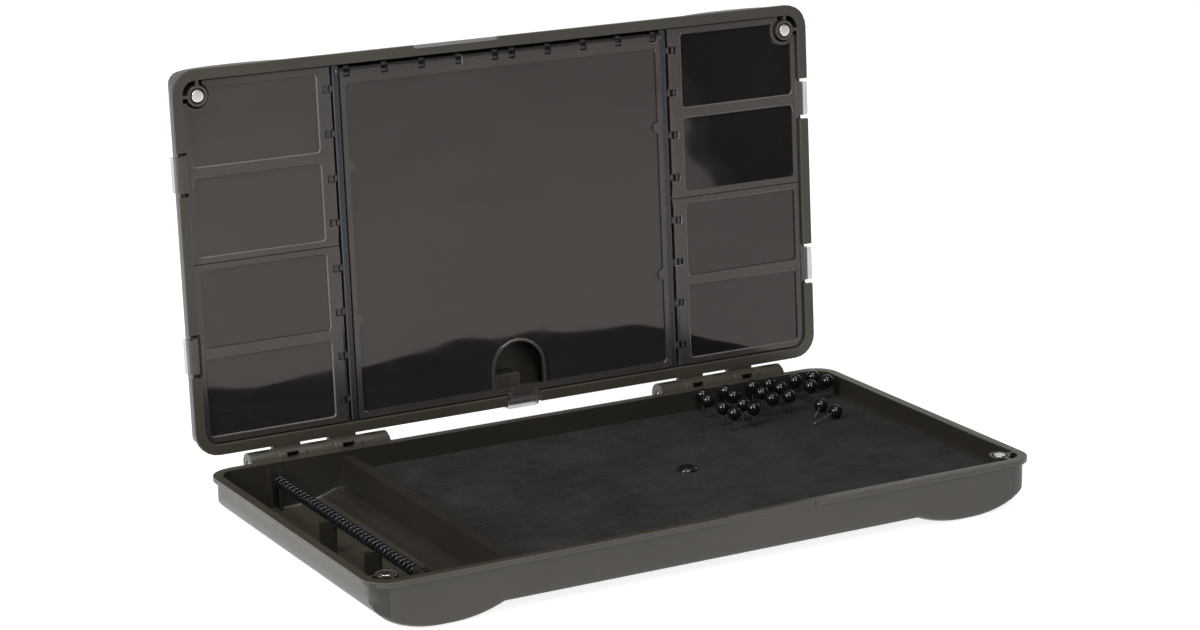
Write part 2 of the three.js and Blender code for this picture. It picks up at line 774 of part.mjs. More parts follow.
// A saddle for a flap's neck: a C in cross-section, open upwards, with its axis at 0, 0
function saddleShape() {
  const bore = neckRadius + fit;
  const mouthAngle = Math.acos(saddleMouth / bore);
  const foot = hingeWallTopZ - flapAxisZ - fit;
  const shape = new THREE.Shape();
  shape.moveTo(-saddleHalfWidth, foot);
  shape.lineTo(saddleHalfWidth, foot);
  shape.lineTo(saddleHalfWidth, saddleTop);
  shape.lineTo(saddleMouth, saddleTop);
  shape.absarc(0, 0, bore, mouthAngle, Math.PI - mouthAngle, true);
  shape.lineTo(-saddleMouth, saddleTop);
  shape.lineTo(-saddleHalfWidth, saddleTop);
  return shape;
}

function saddleAlongY(x, y) {
  const saddle = barAlongY(saddleShape(), [y - saddleLength / 2, y + saddleLength / 2]);
  return saddle.translate([x, 0, flapAxisZ]);
}

function saddleAlongX(x, y) {
  const saddle = barAlongX(saddleShape(), [x - saddleLength / 2, x + saddleLength / 2]);
  return saddle.translate([0, y, flapAxisZ]);
}

function sideSaddles(level) {
  const [from, to] = sideFlapSpan(level);
  const pitch = (to - from) / sideSaddleCount;
  return Array.from({ length: sideSaddleCount }, (_, i) => from + (i + 0.5) * pitch);
}

function centreSaddles() {
  const places = [];
  for (const side of [-1, 1]) {
    for (let i = 0; i < centreSaddlesPerSide; i += 1) {
      places.push(side * (centreSaddleFirst + i * centreSaddlePitch));
    }
  }
  return places.sort((a, b) => a - b);
}

function makeSideDivider(side) {
  const half = partitionThickness / 2;
  const run = [lidInset, boxDepth - lidInset];
  const outward = side > 0
    ? [sideFlapAxis, rimInnerX] : [-rimInnerX, -sideFlapAxis];
  // a shelf closes the channel between this wall and the centre frame
  const shelf = side > 0
    ? [centreFlapHalf, sideFlapAxis] : [-sideFlapAxis, -centreFlapHalf];
  const levels = ['lower', 'upper'];
  const crossings = [
    flapMiddleY, ...levels.map((level) => middleOf(sideFlapSpan(level)))];
  const walls = [
    block([side * sideFlapAxis - half, side * sideFlapAxis + half], run,
      [-shellHeight, hingeWallTopZ]),
    block(shelf, run, [hingeWallTopZ - partitionThickness, hingeWallTopZ]),
    ...crossings.map((y) => block(outward, [y - half, y + half], [-shellHeight, partitionTopZ])
      .subtract(block([side * sideFlapAxis - plateStart, side * sideFlapAxis + plateStart],
        [y - half - overrun, y + half + overrun], [hingeWallTopZ, 0]))),
    ...levels.flatMap((level) => sideSaddles(level).map(
      (y) => saddleAlongY(side * sideFlapAxis, y))),
  ];
  return union(walls).intersect(trayRoom(lidWall));
}

function makeCentreFrame() {
  const outerX = centreFlapHalf - fit;
  const half = partitionThickness / 2;
  const saddles = centreSaddles();
  const walls = [
    block([-outerX, outerX], [centreAxisY - half, centreAxisY + half],
      [-shellHeight, hingeWallTopZ]),
    ...saddles.map((x) => saddleAlongX(x, centreAxisY)),
  ];
  for (const side of [-1, 1]) {
    const inner = side * (outerX - partitionThickness);
    const outer = side * outerX;
    walls.push(block([Math.min(inner, outer), Math.max(inner, outer)],
      [lidInset, centreAxisY], [-shellHeight, hingeWallTopZ]));
    walls.push(block([Math.min(inner, outer), Math.max(inner, outer)],
      [lidInset, centreAxisY - plateStart], [-shellHeight, partitionTopZ]));
  }
  return union(walls).intersect(trayRoom(lidWall));
}

// Hinge stick of a flap, along y from 0: thick between the saddles and necked in them
function stickProfile(length, necks) {
  const neckHalf = saddleLength / 2 + fit;
  const points = [new THREE.Vector2(0, 0), new THREE.Vector2(stickRadius, 0)];
  for (const at of necks) {
    points.push(new THREE.Vector2(stickRadius, at - neckHalf));
    points.push(new THREE.Vector2(neckRadius, at - neckHalf));
    points.push(new THREE.Vector2(neckRadius, at + neckHalf));
    points.push(new THREE.Vector2(stickRadius, at + neckHalf));
  }
  points.push(new THREE.Vector2(stickRadius, length), new THREE.Vector2(0, length));
  return points;
}

// The stretches of a stick between its necks
function thickSpans(from, to, necks) {
  const neckHalf = saddleLength / 2 + fit;
  const starts = [from, ...necks.map((at) => at + neckHalf)];
  const ends = [...necks.map((at) => at - neckHalf), to];
  return starts.map((start, i) => [start, ends[i]]);
}

// Hook that a clip or the latch ends in, drawn outward from u = 0 at the flap's edge
function hookShape(reach, thickness, hang) {
  const shape = new THREE.Shape();
  shape.moveTo(-overrun, flapUnderZ);
  shape.lineTo(reach - thickness, flapUnderZ);
  shape.lineTo(reach - thickness, flapTopZ - hang);
  shape.lineTo(reach, flapTopZ - hang);
  shape.lineTo(reach, flapTopZ);
  shape.absellipse((reach - overrun) / 2, flapTopZ,
    (reach + overrun) / 2, flapDrop - crownDrop, 0, Math.PI);
  return shape;
}

// A side flap is drawn on the right and mirrored for the left
function makeSideFlap(side, level) {
  const [from, to] = sideFlapSpan(level);
  const middle = middleOf([from, to]);
  const inner = sideFlapAxis + plateStart;
  const necks = sideSaddles(level);
  const thickness = [flapUnderZ, flapTopZ];
  const stick = new THREE.LatheGeometry(
    stickProfile(to - from, necks.map((at) => at - from)), stickSides);
  stick.translate(sideFlapAxis, from, flapAxisZ);
  const spans = thickSpans(from, to, necks);
  const clip = barAlongY(hookShape(halfWidth + clipReach - flapOuterX, clipThickness, clipHang),
    [middle - clipLength / 2, middle + clipLength / 2], 0, crownSteps)
    .translate([flapOuterX, 0, 0]);
  let flap = union([
    prism(roundedRectangle([inner, flapOuterX], [from, to], paneCornerRadius), thickness)
      .intersect(planSolid(lidInset + fit, [-shellHeight, 0])),
    solidOf(stick),
    ...spans.map((span) => block([sideFlapAxis, inner + overrun], span, thickness)),
    clip,
  ]);
  const panes = [[from + flapBorder, middle - flapBarWidth / 2],
    [middle + flapBarWidth / 2, to - flapBorder]];
  let recess = union(panes.map((span) => prism(roundedRectangle(
    [inner + flapBorder, flapOuterX - flapBorder], span, paneCornerRadius), [paneZ, 0])));
  if (level === 'upper') {
    const bossY = boxDepth - magnetInset;
    const cutRadius = magnetBossRadius + magnetCutRoom;
    const corner = [[magnetX - cutRadius / 2, halfWidth], [bossY - cutRadius / 2, boxDepth]];
    flap = flap
      .subtract(upright(cutRadius, magnetSides, magnetX, bossY, [-shellHeight, 0]))
      .subtract(block(...corner, [-shellHeight, 0]));
    recess = recess.subtract(upright(
      cutRadius + flapBorder / 2, magnetSides, magnetX, bossY, [-shellHeight, overrun]));
    const cornerRoom = cutRadius / 2 + flapBorder;
    recess = recess.subtract(block(
      [magnetX - cornerRoom, halfWidth], [bossY - cornerRoom, boxDepth], [-shellHeight, overrun]));
  }
  flap = flap.subtract(recess);
  return side > 0 ? flap : flap.mirror([1, 0, 0]);
}

function archShape(grow) {
  const halfSpan = archHalfWidth + grow;
  const springY = archTop - archHalfWidth;
  const shape = new THREE.Shape();
  shape.moveTo(archCentre - halfSpan, archFoot - grow);
  shape.lineTo(archCentre + halfSpan, archFoot - grow);
  shape.absarc(archCentre, springY, halfSpan, 0, Math.PI);
  return shape;
}

function makeCentreFlap() {
  const top = centreAxisY - plateStart;
  const thickness = [flapUnderZ, flapTopZ];
  const necks = centreSaddles();
  const ends = [-centreFlapHalf - stickRadius, centreFlapHalf + stickRadius];
  const stick = new THREE.LatheGeometry(
    stickProfile(ends[1] - ends[0], necks.map((at) => at - ends[0])), stickSides);
  stick.rotateZ(-Math.PI / 2);
  stick.translate(ends[0], centreAxisY, flapAxisZ);
  const spans = thickSpans(ends[0], ends[1], necks);
  const paneX = centreFlapHalf - centreSideBorder;
  const latchHalf = latchWidth / 2;
  const blockHalf = latchBlockWidth / 2;
  // the hook is drawn outward, then turned about to reach over the hinge-side rim
  const latch = barAlongX(
    hookShape(lidInset + fit + latchReach, latchThickness, latchHang),
    [-latchCentre - latchHalf, -latchCentre + latchHalf], crownSteps);
  const turn = new THREE.Matrix4().makeRotationZ(Math.PI)
    .setPosition(0, lidInset + fit, 0);
  let flap = union([
    prism(roundedRectangle([-centreFlapHalf, centreFlapHalf], [flapLowY, top], paneCornerRadius),
      thickness),
    solidOf(stick),
    ...spans.map((span) => block(
      [Math.max(span[0], -centreFlapHalf), Math.min(span[1], centreFlapHalf)],
      [top - overrun, centreAxisY], thickness)),
    latch.transform(turn.elements),
    prism(roundedRectangle([latchBlockCentre - blockHalf, latchBlockCentre + blockHalf],
      [lidInset, archFoot], latchBlockRound), [flapUnderZ, -crownDrop]),
  ]);
  let recess = prism(roundedRectangle(
    [-paneX, paneX], [flapLowY + flapBorder, top - flapBorder], paneCornerRadius), [paneZ, 0]);
  recess = recess.subtract(prism(archShape(archLip), [-shellHeight, overrun], podSteps));
  for (const share of beadShares) {
    for (const side of [-1, 1]) {
      recess = recess.subtract(upright(
        beadRadius, magnetSides, side * paneX, share * boxDepth, [-shellHeight, overrun]));
    }
  }
  flap = flap.subtract(recess);
  return flap.subtract(prism(archShape(0), [-shellHeight, 0], podSteps));
}

// The assembly

const box = new THREE.Group();
const base = new THREE.Group();
const lid = new THREE.Group();
box.add(base, lid);

const pinPlaces = standingPinShares.map(pinPlace);
base.add(meshOf('base_shell', baseParts.shell, oliveShell));
base.add(meshOf('rig_foam', makeFoam(pinPlaces), blackFoam));
base.add(meshOf('foam_stud', makeStud(), glossBlack));
base.add(meshOf('line_spring', makeSpring(), blackWire));
base.add(meshOf('base_magnet_left', baseParts.seats[0].magnet, nickel));
base.add(meshOf('base_magnet_right', baseParts.seats[1].magnet, nickel));

for (const [name, side] of [['hinge_pin_left', -1], ['hinge_pin_right', 1]]) {
  const near = hingeStart + hingePinInset;
  const far = hingeStart + barrelCount * barrelLength - hingePinInset;
  const span = side > 0 ? [near, far] : [-far, -near];
  base.add(meshOf(
    name, rodAcross(hingePinRadius, hingePinSides, span, hingeY, -hingeDrop), steel));
}

pinPlaces.forEach(([x, y], i) => {
  const number = String(i + 1).padStart(2, '0');
  base.add(makePin(`rig_pin_${number}`, x, y, foamTop + pinRise));
});

loosePins.forEach(({ shares, turnDegrees }, i) => {
  const [x, y] = pinPlace(shares);
  const pin = makePin(`loose_pin_${i + 1}`, x, y, foamTop + fit + pinBallRadius);
  // the needle slopes from the ball's centre down to the foam at its tip
  const slope = Math.asin((pinBallRadius - pinNeedleRadius) / pinLength);
  pin.rotation.order = 'ZYX';
  pin.rotation.z = THREE.MathUtils.degToRad(turnDegrees);
  pin.rotation.y = -(Math.PI / 2 - slope);
  base.add(pin);
});

const lidParts = makeLidShell();
const lidInner = new THREE.Group();
lidInner.position.set(0, hingeReach, -hingeDrop - closedGap);
lid.position.set(0, hingeY, -hingeDrop);
lid.rotation.x = Math.PI - THREE.MathUtils.degToRad(lidOpenDegrees);
lid.add(lidInner);
lidInner.add(meshOf('lid_shell', lidParts.shell, oliveShell));
lidInner.add(meshOf('lid_magnet_left', lidParts.seats[0].magnet, nickel));
lidInner.add(meshOf('lid_magnet_right', lidParts.seats[1].magnet, nickel));
lidInner.add(meshOf('side_divider_left', makeSideDivider(-1), darkShell));
lidInner.add(meshOf('side_divider_right', makeSideDivider(1), darkShell));
lidInner.add(meshOf('centre_frame', makeCentreFrame(), darkShell));
for (const [word, side] of [['left', -1], ['right', 1]]) {
  for (const level of ['upper', 'lower']) {
    lidInner.add(meshOf(`side_flap_${word}_${level}`, makeSideFlap(side, level), smokyClear));
  }
}
lidInner.add(meshOf('centre_flap', makeCentreFlap(), smokyClear));

// The origin is the middle of the opened box's footprint, on the surface that it stands on
box.updateMatrixWorld(true);
const bounds = new THREE.Box3().setFromObject(box, true);
const centre = bounds.getCenter(new THREE.Vector3());
box.position.set(-centre.x, -centre.y, -bounds.min.z);
box.updateMatrixWorld(true);

// Points on the joint axes, for the record
const report = (name, group, x, y, z) => {
  const point = group.localToWorld(new THREE.Vector3(x, y, z));
  console.log(name, point.toArray().map((value) => value.toFixed(3)).join(', '), 'mm');
};
report('front rim edge', base, 0, 0, 0);
report('lid hinge', lid, 0, 0, 0);
report('side flap axis, right', lidInner, sideFlapAxis, 0, flapAxisZ);
report('side flap axis, upper end', lidInner, sideFlapAxis, boxDepth, flapAxisZ);
report('centre flap axis', lidInner, 0, centreAxisY, flapAxisZ);
report('pod foot, right', base,
  wallOuterX - podRoundWidth - podFootWidth / 2, boxDepth / 2, -shellHeight);
console.log('lid', lidOpenDegrees, 'side flaps', sideFlapDegrees,
  'centre flap', centreFlapDegrees, 'degrees; pins lift', pinLift, 'mm');

export default box;
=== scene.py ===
# %% [markdown]
# A fishing rig box, opened
#
# The object is a shallow moulded box in two halves. The base holds a foam board with
# ball-headed pins and a narrow compartment with a coil of wire that grips line ends. The lid
# stands open behind it, and smoky clear flaps cover its small compartments.
#
# Everything is built around a finished solid model, which gives each piece its place and
# size. Here the surfaces are made fine: moulded edges get their small rounds, round pieces
# get enough faces, and every piece gets a material that follows the real one. Lengths are
# written in millimetres and multiplied by MM, because Blender counts in metres.

# %% Load the solid model
import math

import bmesh
import bpy
from mathutils import Matrix, Vector
from mathutils.kdtree import KDTree


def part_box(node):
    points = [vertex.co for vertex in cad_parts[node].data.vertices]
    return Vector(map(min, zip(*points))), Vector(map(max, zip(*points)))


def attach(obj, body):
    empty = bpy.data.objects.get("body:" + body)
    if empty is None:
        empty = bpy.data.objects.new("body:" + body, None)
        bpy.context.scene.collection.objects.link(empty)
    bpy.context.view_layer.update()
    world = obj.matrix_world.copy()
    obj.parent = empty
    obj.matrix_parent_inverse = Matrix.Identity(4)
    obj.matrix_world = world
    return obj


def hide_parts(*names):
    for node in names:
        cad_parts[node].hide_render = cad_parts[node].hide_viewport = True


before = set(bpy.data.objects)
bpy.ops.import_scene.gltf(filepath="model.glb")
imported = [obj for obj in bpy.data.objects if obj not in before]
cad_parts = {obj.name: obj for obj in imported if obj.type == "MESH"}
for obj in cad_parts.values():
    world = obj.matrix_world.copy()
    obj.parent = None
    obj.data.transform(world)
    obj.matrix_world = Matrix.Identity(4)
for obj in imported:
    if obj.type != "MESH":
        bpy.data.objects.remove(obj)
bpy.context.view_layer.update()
MM = 0.001
print("pieces in the solid model:", len(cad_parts))

# %% [markdown]
# The camera comes first, because it decides what has to be fine. A product photograph is
# taken from a distance with a long lens, so that the box keeps its proportions. A camera
# could be aimed by eye, but a few corners of the box matched to the photograph fix it better.
# They gave a lens of about 96 mm, to the left of the box, looking down on it at 15 degrees.

# %% Camera
LENS_PIXELS = 3189.1
PHOTO_WIDTH = 1200
SENSOR_WIDTH = 36.0
camera_azimuth = math.radians(-28.979)
camera_elevation = math.radians(15.076)
camera_roll = math.radians(0.700)
camera_place = Vector((-729.7, -1320.4, 503.1)) * MM

forward = Vector((
    -math.sin(camera_azimuth) * math.cos(camera_elevation),
    math.cos(camera_azimuth) * math.cos(camera_elevation),
    -math.sin(camera_elevation),
))
level_right = forward.cross(Vector((0, 0, 1))).normalized()
level_down = forward.cross(level_right).normalized()
right = level_right * math.cos(camera_roll) + level_down * math.sin(camera_roll)
up = -(level_down * math.cos(camera_roll) - level_right * math.sin(camera_roll))

camera_data = bpy.data.cameras.new("photo_camera")
camera_data.sensor_fit = "HORIZONTAL"
camera_data.sensor_width = SENSOR_WIDTH
camera_data.lens = LENS_PIXELS / PHOTO_WIDTH * SENSOR_WIDTH
camera_data.clip_end = 50
camera = bpy.data.objects.new("photo_camera", camera_data)
camera.matrix_world = Matrix.Translation(camera_place) @ Matrix(
    (right, up, -forward)).transposed().to_4x4()
bpy.context.scene.collection.objects.link(camera)
bpy.context.scene.camera = camera
print("lens:", round(camera_data.lens, 2), "mm")

# %% [markdown]
# A shader could be drawn by hand in the editor, but a script can be read and run again. Sums
# in a shader are easiest to read as sums, so a `Link` is the value that comes out of a node,
# and adding or multiplying links adds the Math nodes. `Nodes` makes any other node in a tree
# from its type, its settings and what goes into it, and a `Finish` is one material.

# %% Sums with shader values
class Link:
    def __init__(self, tree, socket):
        self.tree = tree
        self.socket = socket

    def maths(self, operation, first, second):
        node = self.tree.nodes.new("ShaderNodeMath")
        node.operation = operation
        for socket, value in zip(node.inputs, (first, second)):
            feed(self.tree, socket, value)
        return Link(self.tree, node.outputs[0])

    def __add__(self, other):
        return self.maths("ADD", self, other)

    def __radd__(self, other):
        return self.maths("ADD", other, self)

    def __sub__(self, other):
        return self.maths("SUBTRACT", self, other)

    def __rsub__(self, other):
        return self.maths("SUBTRACT", other, self)

    def __mul__(self, other):
        return self.maths("MULTIPLY", self, other)

    def __rmul__(self, other):
        return self.maths("MULTIPLY", other, self)


def feed(tree, socket, value):
    """A link is joined to the socket, and a plain value is written on it."""
    if isinstance(value, Link):
        tree.links.new(value.socket, socket)
    else:
        socket.default_value = value


print("a link can be added, subtracted and multiplied")

# %% Nodes, and a material made of them
class Nodes:
    def __init__(self, tree):
        self.tree = tree

    def node(self, kind, settings=None, inputs=None, output=0):
        made = self.tree.nodes.new("ShaderNode" + kind)
        for name, value in (settings or {}).items():
            setattr(made, name, value)
        for socket, value in (inputs or {}).items():
            feed(self.tree, made.inputs[socket], value)
        return Link(self.tree, made.outputs[output])

    def between(self, low, high, value, low_to=0.0, high_to=1.0):
        """The value stretched, so that low becomes low_to and high becomes high_to."""
        return self.node("MapRange", {"clamp": True}, {
            "Value": value, "From Min": low, "From Max": high,
            "To Min": low_to, "To Max": high_to})

    def along(self, axis, where):
        return self.node("SeparateXYZ", None, {0: where}, output=axis)

    def ray(self, kind):
        """1 for rays of this kind, such as those of the camera, and 0 for others."""
        return self.node("LightPath", output=f"Is {kind} Ray")


class Finish(Nodes):
    def __init__(self, name, **settings):
        self.material = bpy.data.materials.new(name)
        self.material.use_nodes = True
        super().__init__(self.material.node_tree)
        self.surface = self.tree.nodes["Principled BSDF"]
        for socket, value in settings.items():
            self.surface.inputs[socket.replace("_", " ")].default_value = value

    def place(self, scale=(1, 1, 1)):
        """Object coordinates, stretched by the scale in each direction."""
        where = self.node("TexCoord", output="Object")
        return self.node("Mapping", None, {"Vector": where, "Scale": scale})

    def noise(self, scale, detail=2.0, place=None, **inputs):
        """Noise from about 0 to 1, with scale features to the metre."""
        inputs.update({"Vector": place or self.place(), "Scale": scale, "Detail": detail})
        return self.node("TexNoise", None, inputs, output="Fac")

    def mix(self, mask, first, second):
        """One colour where the mask is 0 and the other where it is 1."""
        return self.node("Mix", {"data_type": "RGBA"}, {0: mask, 6: first, 7: second}, output=2)

    def bump(self, height, distance, strength=1.0, under=None):
        inputs = {"Height": height, "Distance": distance, "Strength": strength}
        if under is not None:
            inputs["Normal"] = under
        return self.node("Bump", None, inputs)

    def wear(self, **sockets):
        """Gives the surface what changes over it: colour, roughness, normal and the like."""
        for socket, value in sockets.items():
            feed(self.tree, self.surface.inputs[socket.replace("_", " ")], value)
        return self.material


def grey(value, tint=(1.0, 1.0, 1.0)):
    return tuple(value * share for share in tint) + (1.0,)


print("a middle grey is written as", grey(0.5))

# %% [markdown]
# The two halves are moulded in a dark olive brown. The mould is spark eroded, which leaves a
# grain of a few tenths of a millimetre, so the light on it is broad and soft, and handling
# polishes it a little in places. One plain colour would look like paint. So fine noise gives
# the grain, and broad noise varies the colour and the polish. The same recipe makes the
# inside darker, which is painted shade, and the bluer walls in the lid. It also makes the
# rounded edges, which handling has rubbed smoother than the faces beside them, and paints
# them lighter as a painted highlight, and it paints the saddles lighter, as painted light.

# %% Moulded olive plastic
OLIVE_TINT = (1.0, 0.86, 0.64)
EDGE_HIGHLIGHT_TINT = (1.0, 0.88, 0.70)
CHANNEL_TINT = (0.82, 0.90, 1.15)
CHANNEL_EDGE_HIGHLIGHT_TINT = (0.90, 0.94, 1.06)
SADDLE_LIGHT_TINT = (1.0, 0.95, 0.90)
GRAIN_TO_METRE = 1800
SINK_DEPTH = 0.0006


def moulded_plastic(name, dark, light, tint, grain, polish):
    finish = Finish(name, IOR=1.5)
    cloud = finish.between(0.35, 0.65, finish.noise(22, 3))
    fine = finish.noise(GRAIN_TO_METRE, 2)
    colour = finish.mix(cloud, grey(dark, tint), grey(light, tint))
    scuffs = finish.between(0.58, 0.75, finish.noise(60, 5, finish.place((1, 0.25, 1))))
    rough = finish.between(0.3, 0.7, fine, polish, polish + 0.1) - 0.05 * scuffs
    skin = finish.bump(finish.noise(9, 1), SINK_DEPTH, 0.6)
    relief = finish.bump(fine, grain, 0.5, under=skin)
    return finish.wear(Base_Color=colour, Roughness=rough, Normal=relief)


olive_plastic = moulded_plastic(
    "olive plastic", 0.039, 0.046, OLIVE_TINT, 0.00006, 0.30)
# Painted shade: the inside takes a darker copy of the olive plastic, for the less light that
# reaches it.
shaded_inner_plastic = moulded_plastic(
    "olive plastic, inside, painted shade", 0.019, 0.024, OLIVE_TINT, 0.00005, 0.34)
dark_plastic = moulded_plastic(
    "dark wall plastic", 0.016, 0.021, CHANNEL_TINT, 0.00004, 0.22)
# Painted highlight: the rounded edges take a lighter copy of the olive plastic.
edge_highlight_plastic = moulded_plastic(
    "olive plastic, edges, painted highlight", 0.074, 0.092, EDGE_HIGHLIGHT_TINT, 0.00003, 0.24)
# Painted highlight: the rounds of the dark walls take a lighter copy of their plastic.
channel_edge_highlight_plastic = moulded_plastic(
    "dark wall plastic, edges, painted highlight", 0.052, 0.070, CHANNEL_EDGE_HIGHLIGHT_TINT, 0.00003, 0.20)
# Painted light: the saddles take a lighter copy of the dark wall plastic, against the shade on
# them.
lightened_saddle_plastic = moulded_plastic(
    "saddle plastic, painted light", 0.040, 0.048, SADDLE_LIGHT_TINT, 0.00004, 0.30)
print("plastics:", olive_plastic.name, "and", dark_plastic.name)

# %% [markdown]
# The flaps are smoky clear plastic, from a polished mould. Hardly anything shows through
# them, and what is seen is mostly the white floor mirrored in their skin. A glass shader
# would be slow and needs thick walls, so Alpha makes them see-through. A pane is never quite
# flat: it waves a little where it cooled, and the edge of every reflection in it waves too.
# A broad, shallow bump does that. The upper right flap is also bent, so that it looks past
# the white floor into the dark room, and a bump whose height grows across and up bends it.

# %% Smoky clear plastic
SMOKE_TINT = (1.0, 0.90, 0.84)
SHINE_TINT = (1.0, 0.90, 0.86, 1)
PANE_ALPHA = 0.84
EDGE_ALPHA = 0.90
HOOK_ALPHA = 0.34
UPPER_RIGHT_BEND = (0.046, 0.88, 0.1)


def bent(finish, slope, twist, from_x):
    """Slope is the bend up the lid at from_x, and twist is what each metre across adds."""
    where = finish.node("TexCoord", output="Object")
    across = finish.along("X", where)
    upwards = finish.along("Z", where)
    return 0 - upwards * (slope + twist * (across - from_x))


def smoky_plastic(name, alpha, smoke_and_painted_light, wave=0.0007, rough=0.035, bend=None):
    finish = Finish(name, IOR=1.55, Specular_Tint=SHINE_TINT)
    cloud = finish.between(0.3, 0.7, finish.noise(14, 3))
    haze = finish.between(0.5, 0.8, finish.noise(90, 6))
    colour = finish.mix(cloud, grey(smoke_and_painted_light * 0.88, SMOKE_TINT), grey(smoke_and_painted_light * 1.12, SMOKE_TINT))
    relief = finish.bump(finish.noise(13, 1.0, finish.place((1.0, 1.0, 2.0))), wave, 1.0)
    if bend:
        relief = finish.bump(bent(finish, *bend), 1.0, 1.0, under=relief)
    return finish.wear(
        Base_Color=colour, Alpha=alpha + 0.05 * haze, Roughness=rough + 0.05 * haze,
        Normal=relief)


# The flaps are one plastic. Each takes its own smoke colour, lighter on the left than on the
# right, which is painted light for how differently each flap is lit.
pane_plastics = {
    "flap_left_top": smoky_plastic("smoky plastic, upper left", PANE_ALPHA, 0.030),
    "flap_left_low": smoky_plastic("smoky plastic, lower left", PANE_ALPHA, 0.021),
    "flap_right_top": smoky_plastic(
        "smoky plastic, upper right", PANE_ALPHA, 0.016, wave=0.00025, bend=UPPER_RIGHT_BEND),
    "flap_right_low": smoky_plastic("smoky plastic, lower right", PANE_ALPHA, 0.013),
    "flap_middle": smoky_plastic("smoky plastic, middle", PANE_ALPHA, 0.020),
}
# Painted reflection: the hooks take a much lighter smoke colour than the panes, as well as a
# lower alpha.
hook_reflection_plastic = smoky_plastic("smoky plastic, hooks, painted reflection", HOOK_ALPHA, 0.16)
# Painted highlight: the rounds of the flaps take a lighter smoke colour.
flap_edge_highlight_plastic = smoky_plastic("smoky plastic, edges, painted highlight", EDGE_ALPHA, 0.135, rough=0.12)
# Painted light: the borders take a lighter smoke colour than the panes.
lit_border_plastic = smoky_plastic("smoky plastic, borders, painted light", PANE_ALPHA, 0.047, rough=0.13)
print("flaps:", [material.name for material in pane_plastics.values()])

# %% [markdown]
# The board is closed-cell foam with a skin of tiny cells, and has no shine. Pins and rigs
# leave it scuffed, lighter in clouds and darker in pricks. Modelled cells would take millions
# of faces, so a Voronoi bump gives them, each under a millimetre across, and keeps the board
# from looking like paper. Its rounded edges and the rims of its pin holes are paler.

# %% Foam
CELLS_TO_METRE = 1300
DARK_FOAM_TINT = (1, 0.97, 0.90)
LIGHT_FOAM_TINT = (1, 0.97, 0.91)


def cell_foam(name, dark, light):
    finish = Finish(name, Specular_IOR_Level=0.25)
    cells = finish.node("TexVoronoi", {"feature": "F1"}, {
        "Vector": finish.place(), "Scale": CELLS_TO_METRE}, output="Distance")
    clouds = finish.between(0.38, 0.66, finish.noise(34, 6, Roughness=0.68))
    fine = finish.between(0.35, 0.7, finish.noise(420, 4, Roughness=0.7))
    mask = 0.6 * clouds + 0.4 * fine
    colour = finish.mix(mask, grey(dark, DARK_FOAM_TINT), grey(light, LIGHT_FOAM_TINT))
    lumps = finish.bump(finish.noise(210, 5), 0.0005, 0.5)
    relief = finish.bump(cells, 0.0002, 0.7, under=lumps)
    return finish.wear(Base_Color=colour, Roughness=0.86 + 0.12 * fine, Normal=relief)


foam = cell_foam("black foam", 0.009, 0.028)
# The rounded edges of the board and the rims of its pin holes take a paler foam.
pale_edge_foam = cell_foam("black foam, pale edges", 0.030, 0.075)
print("board:", foam.name)

# %% [markdown]
# The ball heads, the stud and the wire coil are black. Black plastic is known by its
# highlights and not by its colour, so what differs between them is the roughness. The balls
# are polished and show the strip lamps of the studio as two bright bars. The wire is coated,
# so its highlight is softer, and a blue tint gives it its cool look.

# %% Black plastics
def black_plastic(name, dark, light, tint, rough, ripple):
    finish = Finish(name, IOR=1.5)
    smear = finish.between(0.4, 0.7, finish.noise(260, 4))
    colour = finish.mix(smear, grey(dark, tint), grey(light, tint))
    return finish.wear(
        Base_Color=colour,
        Roughness=rough + 0.06 * smear,
        Normal=finish.bump(finish.noise(350, 2), ripple, 0.3))


ball_plastic = black_plastic("black ball plastic", 0.004, 0.007, (1, 1, 1.1), 0.05, 0.00003)
stud_plastic = black_plastic("black stud plastic", 0.006, 0.010, (1, 1, 1), 0.13, 0.00005)
wire_coating = black_plastic(
    "black wire coating", 0.008, 0.014, (0.92, 0.97, 1.35), 0.26, 0.00005)
print("blacks:", ball_plastic.name, stud_plastic.name, wire_coating.name)

# %% [markdown]
# The metals are the pins' needles, the hinge pins and the disc magnets. Drawn wire has fine
# lines along it, so its noise is stretched that way. The magnets are nickel plated, warm and
# a little cloudy, with hair scratches where they meet each time that the lid shuts.

# %% Metals
def plain_metal(name, dark, light, tint, rough, stretch):
    finish = Finish(name, Metallic=1.0)
    lines = finish.noise(900, 3, finish.place(stretch))
    cloud = finish.between(0.35, 0.7, finish.noise(300, 4))
    colour = finish.mix(cloud, grey(dark, tint), grey(light, tint))
    return finish.wear(
        Base_Color=colour,
        Roughness=rough + 0.12 * finish.between(0.4, 0.7, lines),
        Normal=finish.bump(lines, 0.00002, 0.4))


needle_steel = plain_metal("needle steel", 0.50, 0.62, (1, 0.99, 0.97), 0.16, (1, 1, 0.05))
pin_steel = plain_metal("hinge pin steel", 0.46, 0.58, (1, 0.99, 0.97), 0.20, (0.05, 1, 1))
nickel = plain_metal("nickel plate", 0.74, 0.84, (1, 0.965, 0.90), 0.20, (1, 0.15, 1))
print("metals:", needle_steel.name, pin_steel.name, nickel.name)

# %% [markdown]
# Each finished piece is put in the scene in the same way: its mesh is smoothed, it rides
# on the body that carries it, and it stands for the solids that it replaces, which are hidden.
# Faces that meet at a shallow angle are shaded smooth, and sharper edges stay crisp. Weighted
# normals keep broad flat faces flat.

# %% Putting a piece in the scene
SMOOTH_BELOW = math.radians(38)
SHADING_WEIGHT = 60
made_pieces = []


